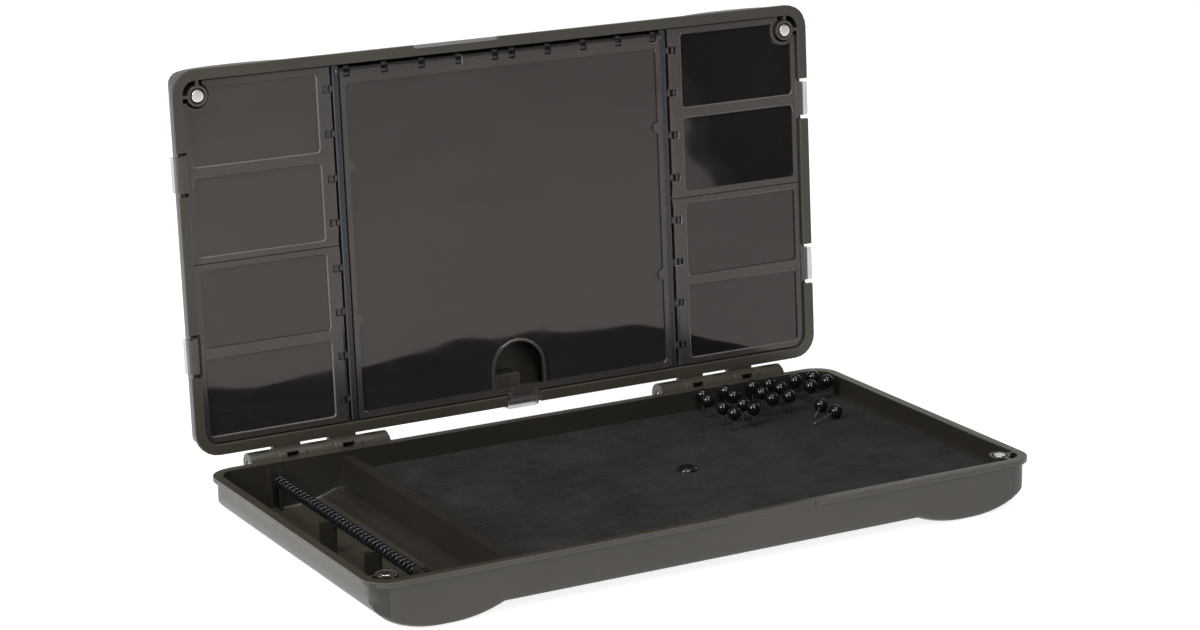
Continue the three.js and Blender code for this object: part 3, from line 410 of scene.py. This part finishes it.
def finish_piece(name, mesh, materials, body, stands_for=(), broad_flats=math.inf):
    """Faces with an area over broad_flats are plane, and are shaded as planes."""
    for edge in mesh.edges:
        edge.smooth = len(edge.link_faces) == 2 and edge.calc_face_angle(0) < SMOOTH_BELOW
    for face in mesh.faces:
        face.smooth = face.calc_area() < broad_flats
    data = bpy.data.meshes.new(name)
    mesh.to_mesh(data)
    mesh.free()
    for material in materials:
        data.materials.append(material)
    made = bpy.data.objects.new(name, data)
    bpy.context.scene.collection.objects.link(made)
    weighted = made.modifiers.new("even shading", "WEIGHTED_NORMAL")
    weighted.keep_sharp = True
    weighted.weight = SHADING_WEIGHT
    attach(made, body)
    if stands_for:
        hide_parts(*stands_for)
    made_pieces.append(made)
    return made


print("edges are smooth below", round(math.degrees(SMOOTH_BELOW)), "degrees")

# %% [markdown]
# The lid leans back by a few degrees, so its pieces need directions of their own: across, up
# the lid from its hinge, and out of its tray. A matrix with these directions and the hinge's
# place takes a point measured in the lid to its place in the box.

# %% Directions in the lid
LID_LEAN = math.radians(3.43)
HINGE = Vector((0, 78.729, 24.0)) * MM
HINGE_TO_RIM = Vector((0, 6.3, -2.6)) * MM
up_lid = Vector((0, math.sin(LID_LEAN), math.cos(LID_LEAN)))
out_lid = Vector((0, -math.cos(LID_LEAN), math.sin(LID_LEAN)))
lid_turn = Matrix((Vector((1, 0, 0)), up_lid, out_lid)).transposed().to_4x4()
lid_place = Matrix.Translation(HINGE) @ lid_turn @ Matrix.Translation(HINGE_TO_RIM)
print("the lid's rim starts at", [round(value / MM, 1) for value in lid_place.translation])

# %% [markdown]
# A moulded piece never has a knife edge. The solids have the right shape but sharp edges, and
# modelling their rounds by hand would take days, so a copy of each solid is bevelled. First
# its doubled points are merged and its flat areas are joined into single faces. Only edges
# with room beside them are rounded: where a face is narrower than the round, the bevel folds
# over itself. A folded face is found by its triangles, which cover more than the face does.

# %% Joined flats and folded faces
FLAT_WITHIN = math.radians(0.08)
FOLD_SHARE = 1.02
FOLD_AREA = 0.02 * MM ** 2


def joined_flats(mesh):
    bmesh.ops.dissolve_limit(
        mesh, angle_limit=FLAT_WITHIN, use_dissolve_boundaries=False,
        verts=mesh.verts, edges=mesh.edges, delimit=set())


def folded(mesh):
    covered = {}
    for corners in mesh.calc_loop_triangles():
        a, b, c = (corner.vert.co for corner in corners)
        face = corners[0].face
        covered[face] = covered.get(face, 0) + (b - a).cross(c - a).length / 2
    return [face for face, area in covered.items()
            if area > face.calc_area() * FOLD_SHARE + FOLD_AREA]


print("faces count as flat within", round(math.degrees(FLAT_WITHIN), 2), "degrees")

# %% [markdown]
# The bevel is tried, and each edge that ends near a folded face stays sharp at the next try.
# A few tries leave no fold that can be seen. The faces of the rounds take the material for
# edges, so that they can be painted lighter than the faces beside them, a painted highlight.

# %% Rounding the edges of a moulded piece
MERGE_WITHIN = 3e-6
SHARP_FROM = math.radians(32)
ROOM_FOR_TWO = 2.6
ROOM_FOR_ONE = 1.3
ROUNDING_TRIES = 5
BODY, ROUNDS = 0, 1


def roomy(face, edge, width, hollows):
    """Whether the face is wide enough for a round on this edge, and on the one opposite."""
    length = edge.calc_length()
    opposite = [other for other in face.edges if other is not edge
                and (hollows or other.is_convex) and other.calc_length() > 0.5 * length]
    room = ROOM_FOR_TWO if opposite else ROOM_FOR_ONE
    return face.calc_area() > room * width * length


def near(spots, pair, reach):
    return min(spots.find(end)[2] for end in pair) < reach


def rounded_copy(node, width, segments=2, hollows=True, shortest=2.2):
    """Shortest is the least length of an edge that is rounded, in widths of the round."""
    kept_sharp = set()
    for attempt in range(ROUNDING_TRIES):
        mesh = bmesh.new()
        mesh.from_mesh(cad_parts[node].data)
        bmesh.ops.remove_doubles(mesh, verts=mesh.verts, dist=MERGE_WITHIN)
        joined_flats(mesh)
        mesh.edges.index_update()
        for face in mesh.faces:
            face.material_index = BODY
        chosen = [
            edge for edge in mesh.edges
            if len(edge.link_faces) == 2
            and edge.index not in kept_sharp
            and edge.calc_face_angle(0) > SHARP_FROM
            and (hollows or edge.is_convex)
            and edge.calc_length() > shortest * width
            and all(roomy(face, edge, width, hollows) for face in edge.link_faces)
        ]
        ends = {edge.index: [vert.co.copy() for vert in edge.verts] for edge in chosen}
        bmesh.ops.triangulate(
            mesh, faces=[face for face in mesh.faces if len(face.verts) > 4],
            quad_method="BEAUTY", ngon_method="BEAUTY")
        rounds = bmesh.ops.bevel(
            mesh, geom=chosen, offset=width, offset_type="OFFSET", segments=segments,
            profile=0.5, affect="EDGES", clamp_overlap=False, material=-1)["faces"]
        for face in rounds:
            face.material_index = ROUNDS
        corners = [vert.co.copy() for face in folded(mesh) for vert in face.verts]
        if not corners:
            break
        spots = KDTree(len(corners))
        for index, corner in enumerate(corners):
            spots.insert(corner, index)
        spots.balance()
        kept_sharp |= {index for index, pair in ends.items() if near(spots, pair, 2 * width)}
    joined_flats(mesh)
    print(node, "edges:", len(chosen), "tries:", attempt + 1, "folds:", len(folded(mesh)))
    return mesh


# %% [markdown]
# The base and the lid are one moulding each, and so are the walls in the lid. The tray's
# inside gets less light than its outside, so its faces take the inner finish, a darker copy
# that is painted shade, and rougher. The saddles that hold the hinge sticks of the flaps have
# their own, a lighter copy that is painted light. Separate pieces would leave seams, so the
# finishes are told apart by where a face lies.

# %% Base, lid and the walls in the lid
SHELL_ROUND = 0.35
WALL_ROUND = 0.2
TRAY_HALF_WIDTH = 177.4
TRAY_DEPTH = (-116.2, 69.6)
TRAY_HEIGHT = (5.0, 25.6)
SADDLE_WIDTH = (94.9, 100.1)
SADDLE_BOTTOM = -5.0
OTHER = 2


def shaded_inside_base(face):
    """The tray of the base, below its rim: its floor and the inner sides of its walls, which
    take the painted shade.
    """
    middle = face.calc_center_median() / MM
    return (abs(middle.x) < TRAY_HALF_WIDTH
            and TRAY_DEPTH[0] < middle.y < TRAY_DEPTH[1]
            and TRAY_HEIGHT[0] < middle.z < TRAY_HEIGHT[1])


def on_saddle(face):
    """The saddles beside the side flaps' hinge sticks, which take the painted light."""
    middle = lid_place.inverted() @ face.calc_center_median() / MM
    return SADDLE_WIDTH[0] < abs(middle.x) < SADDLE_WIDTH[1] and middle.z > SADDLE_BOTTOM


def nowhere(face):
    return False


olives = [olive_plastic, edge_highlight_plastic, shaded_inner_plastic]
darks = [dark_plastic, channel_edge_highlight_plastic, lightened_saddle_plastic]
mouldings = [
    ("box_base", "base_shell", "base", olives, shaded_inside_base, "shell", SHELL_ROUND),
    ("box_lid", "lid_shell", "lid", olives, nowhere, "shell", SHELL_ROUND),
    ("lid_wall_left", "side_divider_left", "lid", darks, on_saddle, "divider", WALL_ROUND),
    ("lid_wall_right", "side_divider_right", "lid", darks, on_saddle, "divider", WALL_ROUND),
    ("lid_frame", "centre_frame", "lid", darks, nowhere, "divider", WALL_ROUND),
]
for name, node, body, materials, has_other_finish, slot, width in mouldings:
    moulding = rounded_copy(node, width * MM)
    for face in moulding.faces:
        if has_other_finish(face):
            face.material_index = OTHER
    made = finish_piece(name, moulding, materials, body, [node])
    print(name, "faces:", len(made.data.polygons))

# %% [markdown]
# The flaps are one moulding each, from a polished mould. A raised border runs round every
# pane, with a soft round on its edges that catches the light, and the panes are flat. The
# borders are painted a lighter smoke than the panes, which is painted light, and the rounds
# lighter still, a painted highlight. Broad flats are shaded as planes, because smooth shading
# would bend the reflections in them. The hooks that snap over the rim stand clear of the dark
# lid, so the light shows through them: their faces take the clearer plastic, which is also
# painted much lighter, a painted reflection. Each clip sits in a gap a little longer than
# itself, so its ends are drawn in from those of the solid.

# %% Flaps
FLAP_ROUND = 0.6
BROAD_FLAT = 30 * MM ** 2
FLAP_EDGE = 174.15 * MM
HOOK_FROM_MIDDLE = 176.4 * MM
LATCH_BELOW = 30.6 * MM
BORDER_FROM = -2.6 * MM
CLIP_REACH = 11.25 * MM
CLIP_SHARE = 0.86
CLIP_UP_LID = {"low": 50.8 * MM, "top": 140.7 * MM}
HOOKS, BORDERS = 2, 3

flap_nodes = {
    "flap_left_top": "side_flap_left_upper",
    "flap_left_low": "side_flap_left_lower",
    "flap_right_top": "side_flap_right_upper",
    "flap_right_low": "side_flap_right_lower",
    "flap_middle": "centre_flap",
}


def shortened_clip(flap, middle):
    """Draws the clip's two ends towards its middle, along the lid."""
    flap.transform(lid_place.inverted())
    for vert in flap.verts:
        from_middle = vert.co.y - middle
        if abs(vert.co.x) > FLAP_EDGE and abs(from_middle) < CLIP_REACH:
            vert.co.y = middle + from_middle * CLIP_SHARE
    flap.transform(lid_place)


for name, node in flap_nodes.items():
    flap = rounded_copy(node, FLAP_ROUND * MM, segments=3, hollows=False, shortest=0.3)
    level = name.split("_")[-1]
    if level in CLIP_UP_LID:
        shortened_clip(flap, CLIP_UP_LID[level])
    for face in flap.faces:
        middle = face.calc_center_median()
        height = (lid_place.inverted() @ middle).z
        if abs(middle.x) > HOOK_FROM_MIDDLE or middle.z < LATCH_BELOW:
            face.material_index = HOOKS
        elif height > BORDER_FROM and face.material_index == BODY:
            face.material_index = BORDERS
    materials = [pane_plastics[name], flap_edge_highlight_plastic, hook_reflection_plastic, lit_border_plastic]
    made = finish_piece(name, flap, materials, node, [node], broad_flats=BROAD_FLAT)
    print(name, "faces:", len(made.data.polygons))

# %% [markdown]
# Beside the round stick along each side flap's hinge edge, a rail fills the channel in the
# lid, so that no small hook can slip under the flaps. A rail is a bar with rounded edges, too
# small to be worth a solid of its own: a cube stretched to size, bevelled, and put in the lid
# by its matrix.

# %% Rails beside the hinge sticks
RAIL_HEIGHT = (-5.9, -2.6)
RAIL_LENGTH = (5.8, 185.6)
RAIL_ROUND = 0.5
rails = {"rail_left": (-94.8, -91.4), "rail_right": (91.4, 94.8)}


def bar(x, y, z, width):
    mesh = bmesh.new()
    bmesh.ops.create_cube(mesh, size=1)
    size = Vector((x[1] - x[0], y[1] - y[0], z[1] - z[0])) * MM
    middle = Vector((x[0] + x[1], y[0] + y[1], z[0] + z[1])) / 2 * MM
    bmesh.ops.transform(
        mesh, verts=mesh.verts,
        matrix=Matrix.Translation(middle) @ Matrix.Diagonal(size.to_4d()))
    rounds = bmesh.ops.bevel(
        mesh, geom=mesh.edges, offset=width * MM, offset_type="OFFSET", segments=3,
        profile=0.5, affect="EDGES", clamp_overlap=True, material=-1)["faces"]
    for face in rounds:
        face.material_index = ROUNDS
    return mesh


for name, x in rails.items():
    rail = bar(x, RAIL_LENGTH, RAIL_HEIGHT, RAIL_ROUND)
    rail.transform(lid_place)
    # The rail's rounds take the dark wall plastic with the painted highlight.
    finish_piece(name, rail, [dark_plastic, channel_edge_highlight_plastic], "lid")
print("rails:", len(rails))

# %% [markdown]
# The foam board is cut from a sheet. Its top edge is pressed soft by the knife, and round
# each needle the skin dips a little. Cloth simulation would be wasted on a board this stiff,
# so a copy of its solid gets a wider round on its edges and on the rims of the pin holes.

# %% Foam board
BOARD_ROUND = 0.5
board = rounded_copy("rig_foam", BOARD_ROUND * MM, segments=3)
made = finish_piece("rig_board", board, [foam, pale_edge_foam], "base", ["rig_foam"])
print("board faces:", len(made.data.polygons))

# %% [markdown]
# Round pieces could be made from Blender's spheres and cylinders, but those have plain ends.
# Here they are spun, as on a lathe: a few points give the profile, and a full turn about the
# axis makes the surface. The doubled points on the axis are merged, so that the solid is
# closed, and the faces are turned outwards.

# %% Spinning a profile
THIN_STEPS = 32
WIDE_STEPS = 48
MERGE_POLES = 1e-7


def spun(profile, steps):
    """A closed solid from (radius, height) points, from the axis back to the axis."""
    mesh = bmesh.new()
    points = [mesh.verts.new((radius * MM, 0, height * MM)) for radius, height in profile]
    edges = [mesh.edges.new(pair) for pair in zip(points, points[1:])]
    bmesh.ops.spin(
        mesh, geom=points + edges, cent=(0, 0, 0), axis=(0, 0, 1), dvec=(0, 0, 0),
        angle=2 * math.pi, steps=steps, use_merge=True)
    bmesh.ops.remove_doubles(mesh, verts=mesh.verts, dist=MERGE_POLES)
    bmesh.ops.recalc_face_normals(mesh, faces=mesh.faces)
    return mesh


def arc(centre, radius, start, end, count):
    """Points on an arc, by degrees from the outward direction."""
    angles = [math.radians(start + (end - start) * step / count) for step in range(count + 1)]
    return [(centre[0] + radius * math.cos(angle), centre[1] + radius * math.sin(angle))
            for angle in angles]


print("an arc of 90 degrees in 4 steps has", len(arc((0, 0), 1, 0, 90, 4)), "points")

# %% [markdown]
# A rig pin is a plastic ball moulded on a steel needle. The ball is 7.2 mm across. Where the
# needle leaves it there is a short collar, and the needle ends in a point. Ball and needle
# are one profile in two materials, so that they can't come apart, and the same pin is made at
# each place, standing in the foam or lying on it.

# %% Rig pins
BALL_RADIUS = 3.6
BALL_STEPS = 18
NEEDLE_RADIUS = 0.45
NEEDLE_TIP = -16.7
TIP_RADIUS = 0.12
TIP_BLUNT = 0.25
TIP_LENGTH = 2.6
COLLAR_RADIUS = 0.8
COLLAR_ROUND = 0.1
COLLAR_DROP = 0.3
COLLAR_STEP = 0.05
PIN_COUNT = 18


def rig_pin():
    collar_top = -math.sqrt(BALL_RADIUS ** 2 - COLLAR_RADIUS ** 2)
    collar_bottom = collar_top - COLLAR_DROP
    needle_top = collar_bottom - COLLAR_STEP
    needle = [(0, NEEDLE_TIP), (TIP_RADIUS, NEEDLE_TIP + TIP_BLUNT),
              (NEEDLE_RADIUS, NEEDLE_TIP + TIP_LENGTH), (NEEDLE_RADIUS, needle_top)]
    collar = [(COLLAR_RADIUS - COLLAR_ROUND, collar_bottom)]
    start = math.degrees(math.asin(collar_top / BALL_RADIUS))
    ball = arc((0, 0), BALL_RADIUS, start, 90, BALL_STEPS)[:-1] + [(0, BALL_RADIUS)]
    mesh = spun(needle + collar + ball, THIN_STEPS)
    for face in mesh.faces:
        face.material_index = int(face.calc_center_median().z < needle_top * MM)
    return mesh


foam_low, foam_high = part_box("rig_foam")
pin_places = {}
for number in range(1, PIN_COUNT + 1):
    node = f"rig_pin_{number:02d}"
    low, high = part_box(node)
    pin_places[node] = Matrix.Translation(
        ((low.x + high.x) / 2, (low.y + high.y) / 2, high.z - BALL_RADIUS * MM))

# Places of the two loose pins, in ball diameters from the foam's right and back edges, and
# how far each is turned
LYING_GAP = 0.3
loose_pins = {"loose_pin_1": ((3.15, 5.23), 223), "loose_pin_2": ((3.12, 7.14), 193)}
slope = math.asin((BALL_RADIUS - NEEDLE_RADIUS) / -NEEDLE_TIP)
for node, (diameters, turn) in loose_pins.items():
    where = Vector((foam_high.x - diameters[0] * 2 * BALL_RADIUS * MM,
                    foam_high.y - diameters[1] * 2 * BALL_RADIUS * MM,
                    foam_high.z + (BALL_RADIUS + LYING_GAP) * MM))
    pin_places[node] = (
        Matrix.Translation(where) @ Matrix.Rotation(math.radians(turn), 4, "Z")
        @ Matrix.Rotation(slope - math.pi / 2, 4, "Y"))

for node, place in pin_places.items():
    pin = rig_pin()
    pin.transform(place)
    name = "pin_" + node[-2:].strip("_") + ("_loose" if "loose" in node else "")
    finish_piece(name, pin, [ball_plastic, needle_steel], node, [node])
print("rig pins:", len(pin_places))

# %% [markdown]
# The stud that holds the board down is a low dome on a stem, pushed through the foam. The
# dome's rim presses the foam in a little. Its profile is a quarter of an ellipse on a short
# upright edge, spun like the pins.

# %% Foam stud
STUD_RADIUS = 5.5
STEM_RADIUS = 3.0
PRESSED_IN = 0.6
RIM_ROUND = 0.3
RIM_HEIGHT = 0.5

stud_low, stud_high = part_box("foam_stud")
stud_middle = (stud_low + stud_high) / 2
stud_bottom = stud_low.z / MM
stud_top = stud_high.z / MM
cap_under = foam_high.z / MM - PRESSED_IN
dome_from = cap_under + RIM_HEIGHT
dome = [(STUD_RADIUS * math.cos(math.radians(angle)),
         dome_from + (stud_top - dome_from) * math.sin(math.radians(angle)))
        for angle in range(0, 90, 9)]
stem = [(0, stud_bottom), (STEM_RADIUS, stud_bottom), (STEM_RADIUS, cap_under)]
rim = [(STUD_RADIUS - RIM_ROUND, cap_under), (STUD_RADIUS, cap_under + RIM_ROUND)]
stud = spun(stem + rim + dome + [(0, stud_top)], WIDE_STEPS)
stud.transform(Matrix.Translation((stud_middle.x, stud_middle.y, 0)))
finish_piece("board_stud", stud, [stud_plastic], "base", ["foam_stud"])
print("stud top:", round(stud_top, 2), "mm")

# %% [markdown]
# Four disc magnets hold the lid shut. Two lie flat in the base, and two in the lid, turned
# with it. Each sits in its boss with a thin gap round it. A plain cylinder would have a knife
# edge, and the plating shows its round as a bright ring, so the disc is spun with one.

# %% Disc magnets
MAGNET_RADIUS = 3.1
MAGNET_HEIGHT = 3.0
MAGNET_ROUND = 0.35


def magnet_disc():
    edge = MAGNET_RADIUS - MAGNET_ROUND
    return spun(
        [(0, -MAGNET_HEIGHT), (MAGNET_RADIUS, -MAGNET_HEIGHT)]
        + arc((edge, -MAGNET_ROUND), MAGNET_ROUND, 0, 90, 4) + [(0, 0)], WIDE_STEPS)


magnets = ("base_magnet_left", "base_magnet_right", "lid_magnet_left", "lid_magnet_right")
for node in magnets:
    low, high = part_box(node)
    middle = (low + high) / 2
    if node.startswith("base"):
        place = Matrix.Translation((middle.x, middle.y, high.z))
    else:
        face = middle + out_lid * (MAGNET_HEIGHT / 2 * MM)
        place = Matrix.Translation(face) @ lid_turn
    disc = magnet_disc()
    disc.transform(place)
    finish_piece("disc_" + node.replace("_magnet", ""), disc, [nickel],
                 node.split("_")[0], [node])
print("magnets:", len(magnets))

# %% [markdown]
# A steel pin runs through the barrels of each hinge. It shows in the gaps between them and
# through their windows, so it needs a real rod with chamfered ends, and not a dark hole.

# %% Hinge pins
HINGE_PIN_RADIUS = 1.5
CHAMFER = 0.3
sides = ("left", "right")
for side in sides:
    low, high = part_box("hinge_pin_" + side)
    middle = (low + high) / 2
    length = (high.x - low.x) / MM
    end_radius = HINGE_PIN_RADIUS - CHAMFER
    rod = spun(
        [(0, 0), (end_radius, 0), (HINGE_PIN_RADIUS, CHAMFER),
         (HINGE_PIN_RADIUS, length - CHAMFER), (end_radius, length), (0, length)], THIN_STEPS)
    rod.transform(Matrix.Translation((low.x, middle.y, middle.z))
                  @ Matrix.Rotation(math.pi / 2, 4, "Y"))
    finish_piece("hinge_rod_" + side, rod, [pin_steel], "base", ["hinge_pin_" + side])
print("hinge pins:", len(sides))

# %% [markdown]
# The line spring is one wire wound in 38 turns, which grips the line ends between them. It
# could be a curve with a round profile, but a spin winds it in one call: a ring of points
# across the wire is spun about the spring's axis and moved along it at each step, like a
# screw. At each end the last ring is spun a quarter turn about a short axis, so that the wire
# turns along the spring, and is drawn out straight to meet its fork.

# %% Line spring
COIL_RADIUS = 2.3
WIRE_RADIUS = 0.7
TURNS = 38
STEPS_PER_TURN = 20
WIRE_SIDES = 10
BEND_STEPS = 6
END_BEND = 1.2
END_STRAIGHT = 2 * WIRE_RADIUS
BASE_RIM = 26.3
AXIS_BELOW_RIM = 7.2

spring_low, spring_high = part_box("line_spring")
coil_x = -146.2
coil_z = BASE_RIM - AXIS_BELOW_RIM
coil_start = spring_low.y / MM + END_STRAIGHT + END_BEND
coil_end = spring_high.y / MM - END_STRAIGHT - END_BEND
early = math.atan2(END_BEND, COIL_RADIUS)
sweep = TURNS * 2 * math.pi - 2 * early
coil_steps = TURNS * STEPS_PER_TURN
spring = bmesh.new()
ring = bmesh.ops.create_circle(
    spring, cap_ends=False, segments=WIRE_SIDES, radius=WIRE_RADIUS * MM)
pitch_angle = math.atan2((coil_end - coil_start) / sweep, COIL_RADIUS)
radial = Vector((math.cos(early), 0, math.sin(early)))
round_coil = Vector((-math.sin(early), 0, math.cos(early)))
wire_way = round_coil * math.cos(pitch_angle) + Vector((0, 1, 0)) * math.sin(pitch_angle)
stand = Matrix((radial, wire_way.cross(radial), wire_way)).transposed().to_4x4()
stand.translation = (Vector((coil_x, coil_start, coil_z)) + radial * COIL_RADIUS) * MM
bmesh.ops.transform(spring, matrix=stand, verts=ring["verts"])


def end_bend(mesh, ring_verts, angle, y, direction):
    """Turns the wire's end from round the coil to along it, and draws it out straight."""
    edges = [edge for edge in mesh.edges if all(vert in ring_verts for vert in edge.verts)]
    out = Vector((math.cos(angle), 0, math.sin(angle)))
    centre = Vector((coil_x, y + direction * END_BEND, coil_z)) + out * COIL_RADIUS
    turned = bmesh.ops.spin(
        mesh, geom=list(ring_verts) + edges, cent=centre * MM, axis=out,
        dvec=(0, 0, 0), angle=math.pi / 2, steps=BEND_STEPS)
    last_edges = [part for part in turned["geom_last"] if isinstance(part, bmesh.types.BMEdge)]
    drawn = bmesh.ops.extrude_edge_only(mesh, edges=last_edges)
    verts = [part for part in drawn["geom"] if isinstance(part, bmesh.types.BMVert)]
    bmesh.ops.translate(mesh, vec=(0, direction * END_STRAIGHT * MM, 0), verts=verts)


first_ring = set(ring["verts"])
wound = bmesh.ops.spin(
    spring, geom=list(first_ring) + list(spring.edges), cent=(coil_x * MM, 0, coil_z * MM),
    axis=(0, -1, 0), dvec=(0, (coil_end - coil_start) / coil_steps * MM, 0),
    angle=sweep, steps=coil_steps)
last_ring = {part for part in wound["geom_last"] if isinstance(part, bmesh.types.BMVert)}
end_bend(spring, first_ring, early, coil_start, -1)
end_bend(spring, last_ring, early + sweep, coil_end, 1)
bmesh.ops.holes_fill(spring, edges=[edge for edge in spring.edges if edge.is_boundary])
bmesh.ops.recalc_face_normals(spring, faces=spring.faces)
coil = finish_piece("line_coil", spring, [wire_coating], "base", ["line_spring"])
along_spring = [vert.co.y / MM for vert in coil.data.vertices]
print("coil faces:", len(coil.data.polygons),
      "from", round(min(along_spring), 2), "to", round(max(along_spring), 2), "mm")

# %% [markdown]
# A product photograph is taken on white paper. The paper could be made white by more light,
# but that would bleach the box. So the floor glows for the rays that see it, mirror it or
# pass through something, which Light Path tells apart, and for the light on the box it is
# plain pale paper, which keeps a trace of the shadow. The paper ends some way in front, and
# a pane that looks further sees the dark room.

# %% Floor
FLOOR_RADIUS = 12
FLOOR_BELOW = 0.0002
PAPER_GLOW = 0.86
PAPER_END = -3.1
PAPER_FADE = 0.25

floor_mesh = bmesh.new()
bmesh.ops.create_circle(floor_mesh, cap_ends=True, segments=64, radius=FLOOR_RADIUS)
floor_data = bpy.data.meshes.new("floor")
floor_mesh.to_mesh(floor_data)
floor_mesh.free()
floor = bpy.data.objects.new("floor", floor_data)
floor.location = (0, 0, -FLOOR_BELOW)
bpy.context.scene.collection.objects.link(floor)

paper = Finish("white floor", Roughness=0.9, Base_Color=grey(0.8))
plain = Link(paper.tree, paper.surface.outputs["BSDF"])
soft = paper.node("BsdfDiffuse", None, {"Color": grey(0.5)})
glow = paper.node("Emission", None, {"Color": grey(1.0), "Strength": PAPER_GLOW})
glowing = paper.node("AddShader", None, {0: soft, 1: glow})
towards_back = paper.along("Y", paper.node("TexCoord", output="Object"))
on_paper = paper.between(PAPER_END - PAPER_FADE, PAPER_END, towards_back)
off_paper = paper.ray("Glossy") * (1 - on_paper)
sheet = paper.node("MixShader", None, {0: off_paper, 1: glowing, 2: soft})
seen = paper.ray("Camera") + paper.ray("Glossy") + paper.ray("Transmission")
shown = paper.node("MixShader", None, {0: paper.between(0, 1, seen), 1: plain, 2: sheet})
feed(paper.tree, paper.tree.nodes["Material Output"].inputs["Surface"], shown)
floor_data.materials.append(paper.material)
print("floor:", floor.name)

# %% [markdown]
# One lamp would leave the gloss black with a single spot in it. Two narrow strip lamps stand
# on the left and in front, so that the left ends of the box are the brightest and each ball
# shows two bars, and a wide lamp hangs over the box for the rims and the foam. The world
# gives the rest: white behind the box, as the backdrop is, and dark above and in front, so
# that the black pieces stay black apart from the lamps in them.

# %% Lamps and world
LAMP_AIM = Vector((0, 0, 0.05))


def soft_lamp(name, place, size, watts):
    data = bpy.data.lights.new(name, "AREA")
    data.shape = "RECTANGLE"
    data.size, data.size_y = size
    data.energy = watts
    lamp = bpy.data.objects.new(name, data)
    lamp.location = place
    lamp.rotation_euler = (LAMP_AIM - Vector(place)).to_track_quat("-Z", "Y").to_euler()
    bpy.context.scene.collection.objects.link(lamp)


soft_lamp("left_strip", (-1.65, -0.41, 1.06), (0.26, 1.1), 26)
soft_lamp("front_strip", (-0.45, -1.46, 1.29), (0.26, 1.0), 13)
soft_lamp("top_lamp", (-0.1, -0.3, 1.9), (1.6, 0.9), 14)

BACKDROP = 0.85
DARK_ROOM = 0.05
DIFFUSE_LEVEL = 0.32
world = bpy.data.worlds.new("studio")
bpy.context.scene.world = world
world.use_nodes = True
sky = Nodes(world.node_tree)
direction = sky.node("TexCoord", output="Generated")
behind = sky.between(0.0, 0.5, sky.along("Y", direction), 0.0, BACKDROP)
below = sky.between(0.35, 0.6, sky.along("Z", direction), 1.0, 0.1)
seen = sky.ray("Camera") + sky.ray("Transmission")
mirrored = sky.ray("Glossy")
lighting = 1 - seen - mirrored
level = seen + mirrored * (DARK_ROOM + behind * below) + lighting * DIFFUSE_LEVEL
background = world.node_tree.nodes["Background"]
background.inputs["Color"].default_value = grey(0.8)
feed(world.node_tree, background.inputs["Strength"], level)
bpy.context.scene.view_settings.view_transform = "Standard"
print("lamps:", len(bpy.data.lights))

# %% [markdown]
# Last, the number of finished pieces is printed.

# %% Count the pieces
print("pieces made:", len(made_pieces))
